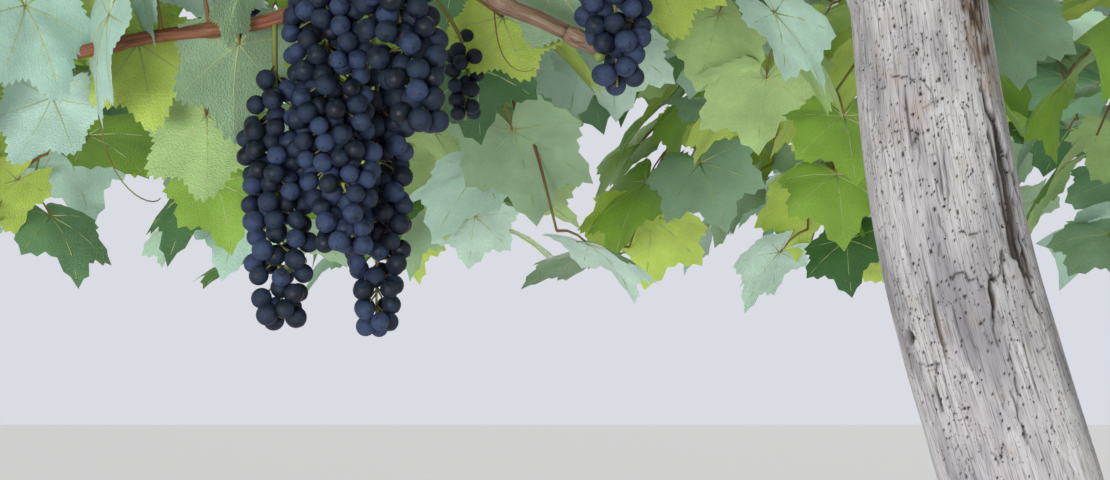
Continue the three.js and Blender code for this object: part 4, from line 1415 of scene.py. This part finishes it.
fine_pieces = []
for tone, (top_code, under_code) in TONES.items():
    top_skin = leaf_material("leaf_top_" + tone, top_code, TOP_LOOK)
    under_skin = leaf_material("leaf_under_" + tone, under_code, UNDER_LOOK)
    fine_pieces.append(("leaves_top_" + tone, tops[tone], top_skin, "leaf"))
    fine_pieces.append(("leaves_under_" + tone, unders[tone], under_skin, "leaf"))
fine_pieces += [
    ("leaf_veins", veins, green_material("leaf_vein", 0xC4CF95, 0xA9BE7E, 0.55), "leaf"),
    ("petioles", petioles, green_material("petiole", 0x9A8A4A, 0x8F5B45, 0.45), "green_shoot"),
    ("tendrils", tendrils, green_material("tendril", 0x8E9148, 0x6B4B30, 0.5), "green_shoot"),
    ("twigs", twigs, green_material("green_shoot", 0x8C8A44, 0x7D5A37, 0.5), "green_shoot"),
    ("bunch_stalks", stalks, green_material("bunch_stalk", 0x93A052, 0x7E6A3C, 0.55), "green_shoot"),
]
for tone, pile in berries.items():
    fine_pieces.append(("grapes_" + tone, pile, grape_material("grape_" + tone, *SKINS[tone]), "grape"))
fine_pieces += [
    ("grapes_unripe", green_berries, green_material("grape_unripe", 0x9DB06A, 0x86994E, 0.4), "grape"),
    ("grape_scars", scars, green_material("grape_scar", 0x1B1714, 0x2A2119, 0.8), "grape"),
]
for name, pile, material, slot in fine_pieces:
    pile.piece(name, material, slot, fine_nodes)


# Stage, light and camera
FLOOR_HALF = 150  # metres
# Lamps above: heading and height in degrees, spread in degrees, power and colour
LAMPS = {
    "key": ((236, 34), 45, 1.9, (1, 0.985, 0.985)),
    "fill": ((318, 14), 60, 0.6, (0.96, 0.98, 1)),
    "rim": ((75, 38), 50, 0.9, (1, 1, 0.95)),
}
PANEL = {"place": (-2.6, -6.0, 0.7), "target": (-0.8, 0.0, 1.75), "size": (2.4, 1.0), "power": 30}
SKY = {"Color": (0.87, 0.895, 0.96, 1), "Strength": 0.8}


def stage_floor():
    mesh = bpy.data.meshes.new("floor")
    corners = [(a * FLOOR_HALF, b * FLOOR_HALF, 0) for a, b in ((-1, -1), (1, -1), (1, 1), (-1, 1))]
    mesh.from_pydata(corners, [], [(0, 1, 2, 3)])
    s = Surface("floor", 0.9)
    speckle = s.between(s.noise(s.places(), 3, 2), 0.3, 0.7, 0, 0.15)
    mesh.materials.append(s.finish(s.mixed(speckle, 0xB4B3AF, 0xA9A8A4)))
    floor = placed("floor", mesh)


def soft_light(name, heading, spread, power, colour):
    """Soft light from a heading, which is the degrees from +X and the degrees above the floor."""
    data = bpy.data.lights.new(name, "SUN")
    data.angle, data.energy, data.color = math.radians(spread), power, colour
    around, above = (math.radians(part) for part in heading)
    flat = math.cos(above)
    way = Vector((math.cos(around) * flat, math.sin(around) * flat, math.sin(above)))
    placed(name, data).rotation_euler = way.to_track_quat("Z", "Y").to_euler()


def soft_panel(place, target, size, power):
    """A wide lamp that shines in under the crown, where little of the light from above comes through."""
    data = bpy.data.lights.new("panel", "AREA")
    data.shape, data.size, data.size_y = "RECTANGLE", *size
    data.energy, data.spread = power, math.radians(70)
    lamp = placed("panel", data)
    lamp.location = place
    lamp.rotation_euler = (Vector(place) - Vector(target)).to_track_quat("Z", "Y").to_euler()
    lamp.visible_camera = False


def stage_world():
    world = bpy.data.worlds.new("sky")
    world.use_nodes = True
    for name, value in SKY.items():
        world.node_tree.nodes["Background"].inputs[name].default_value = value
    bpy.context.scene.world = world


def stage_camera():
    data = bpy.data.cameras.new("camera")
    data.lens, data.sensor_width = CAMERA["lens"], CAMERA["sensor"]
    data.clip_start, data.clip_end = 0.02, 400
    camera = placed("camera", data)
    camera.location = CAMERA["place"]
    camera.rotation_euler = (math.radians(90 + CAMERA["pitch"]), 0, 0)
    bpy.context.scene.camera = camera


stage_floor()
stage_world()
stage_camera()
for name, lamp in LAMPS.items():
    soft_light(name, *lamp)
soft_panel(**PANEL)
bpy.context.scene.view_settings.view_transform = "Standard"
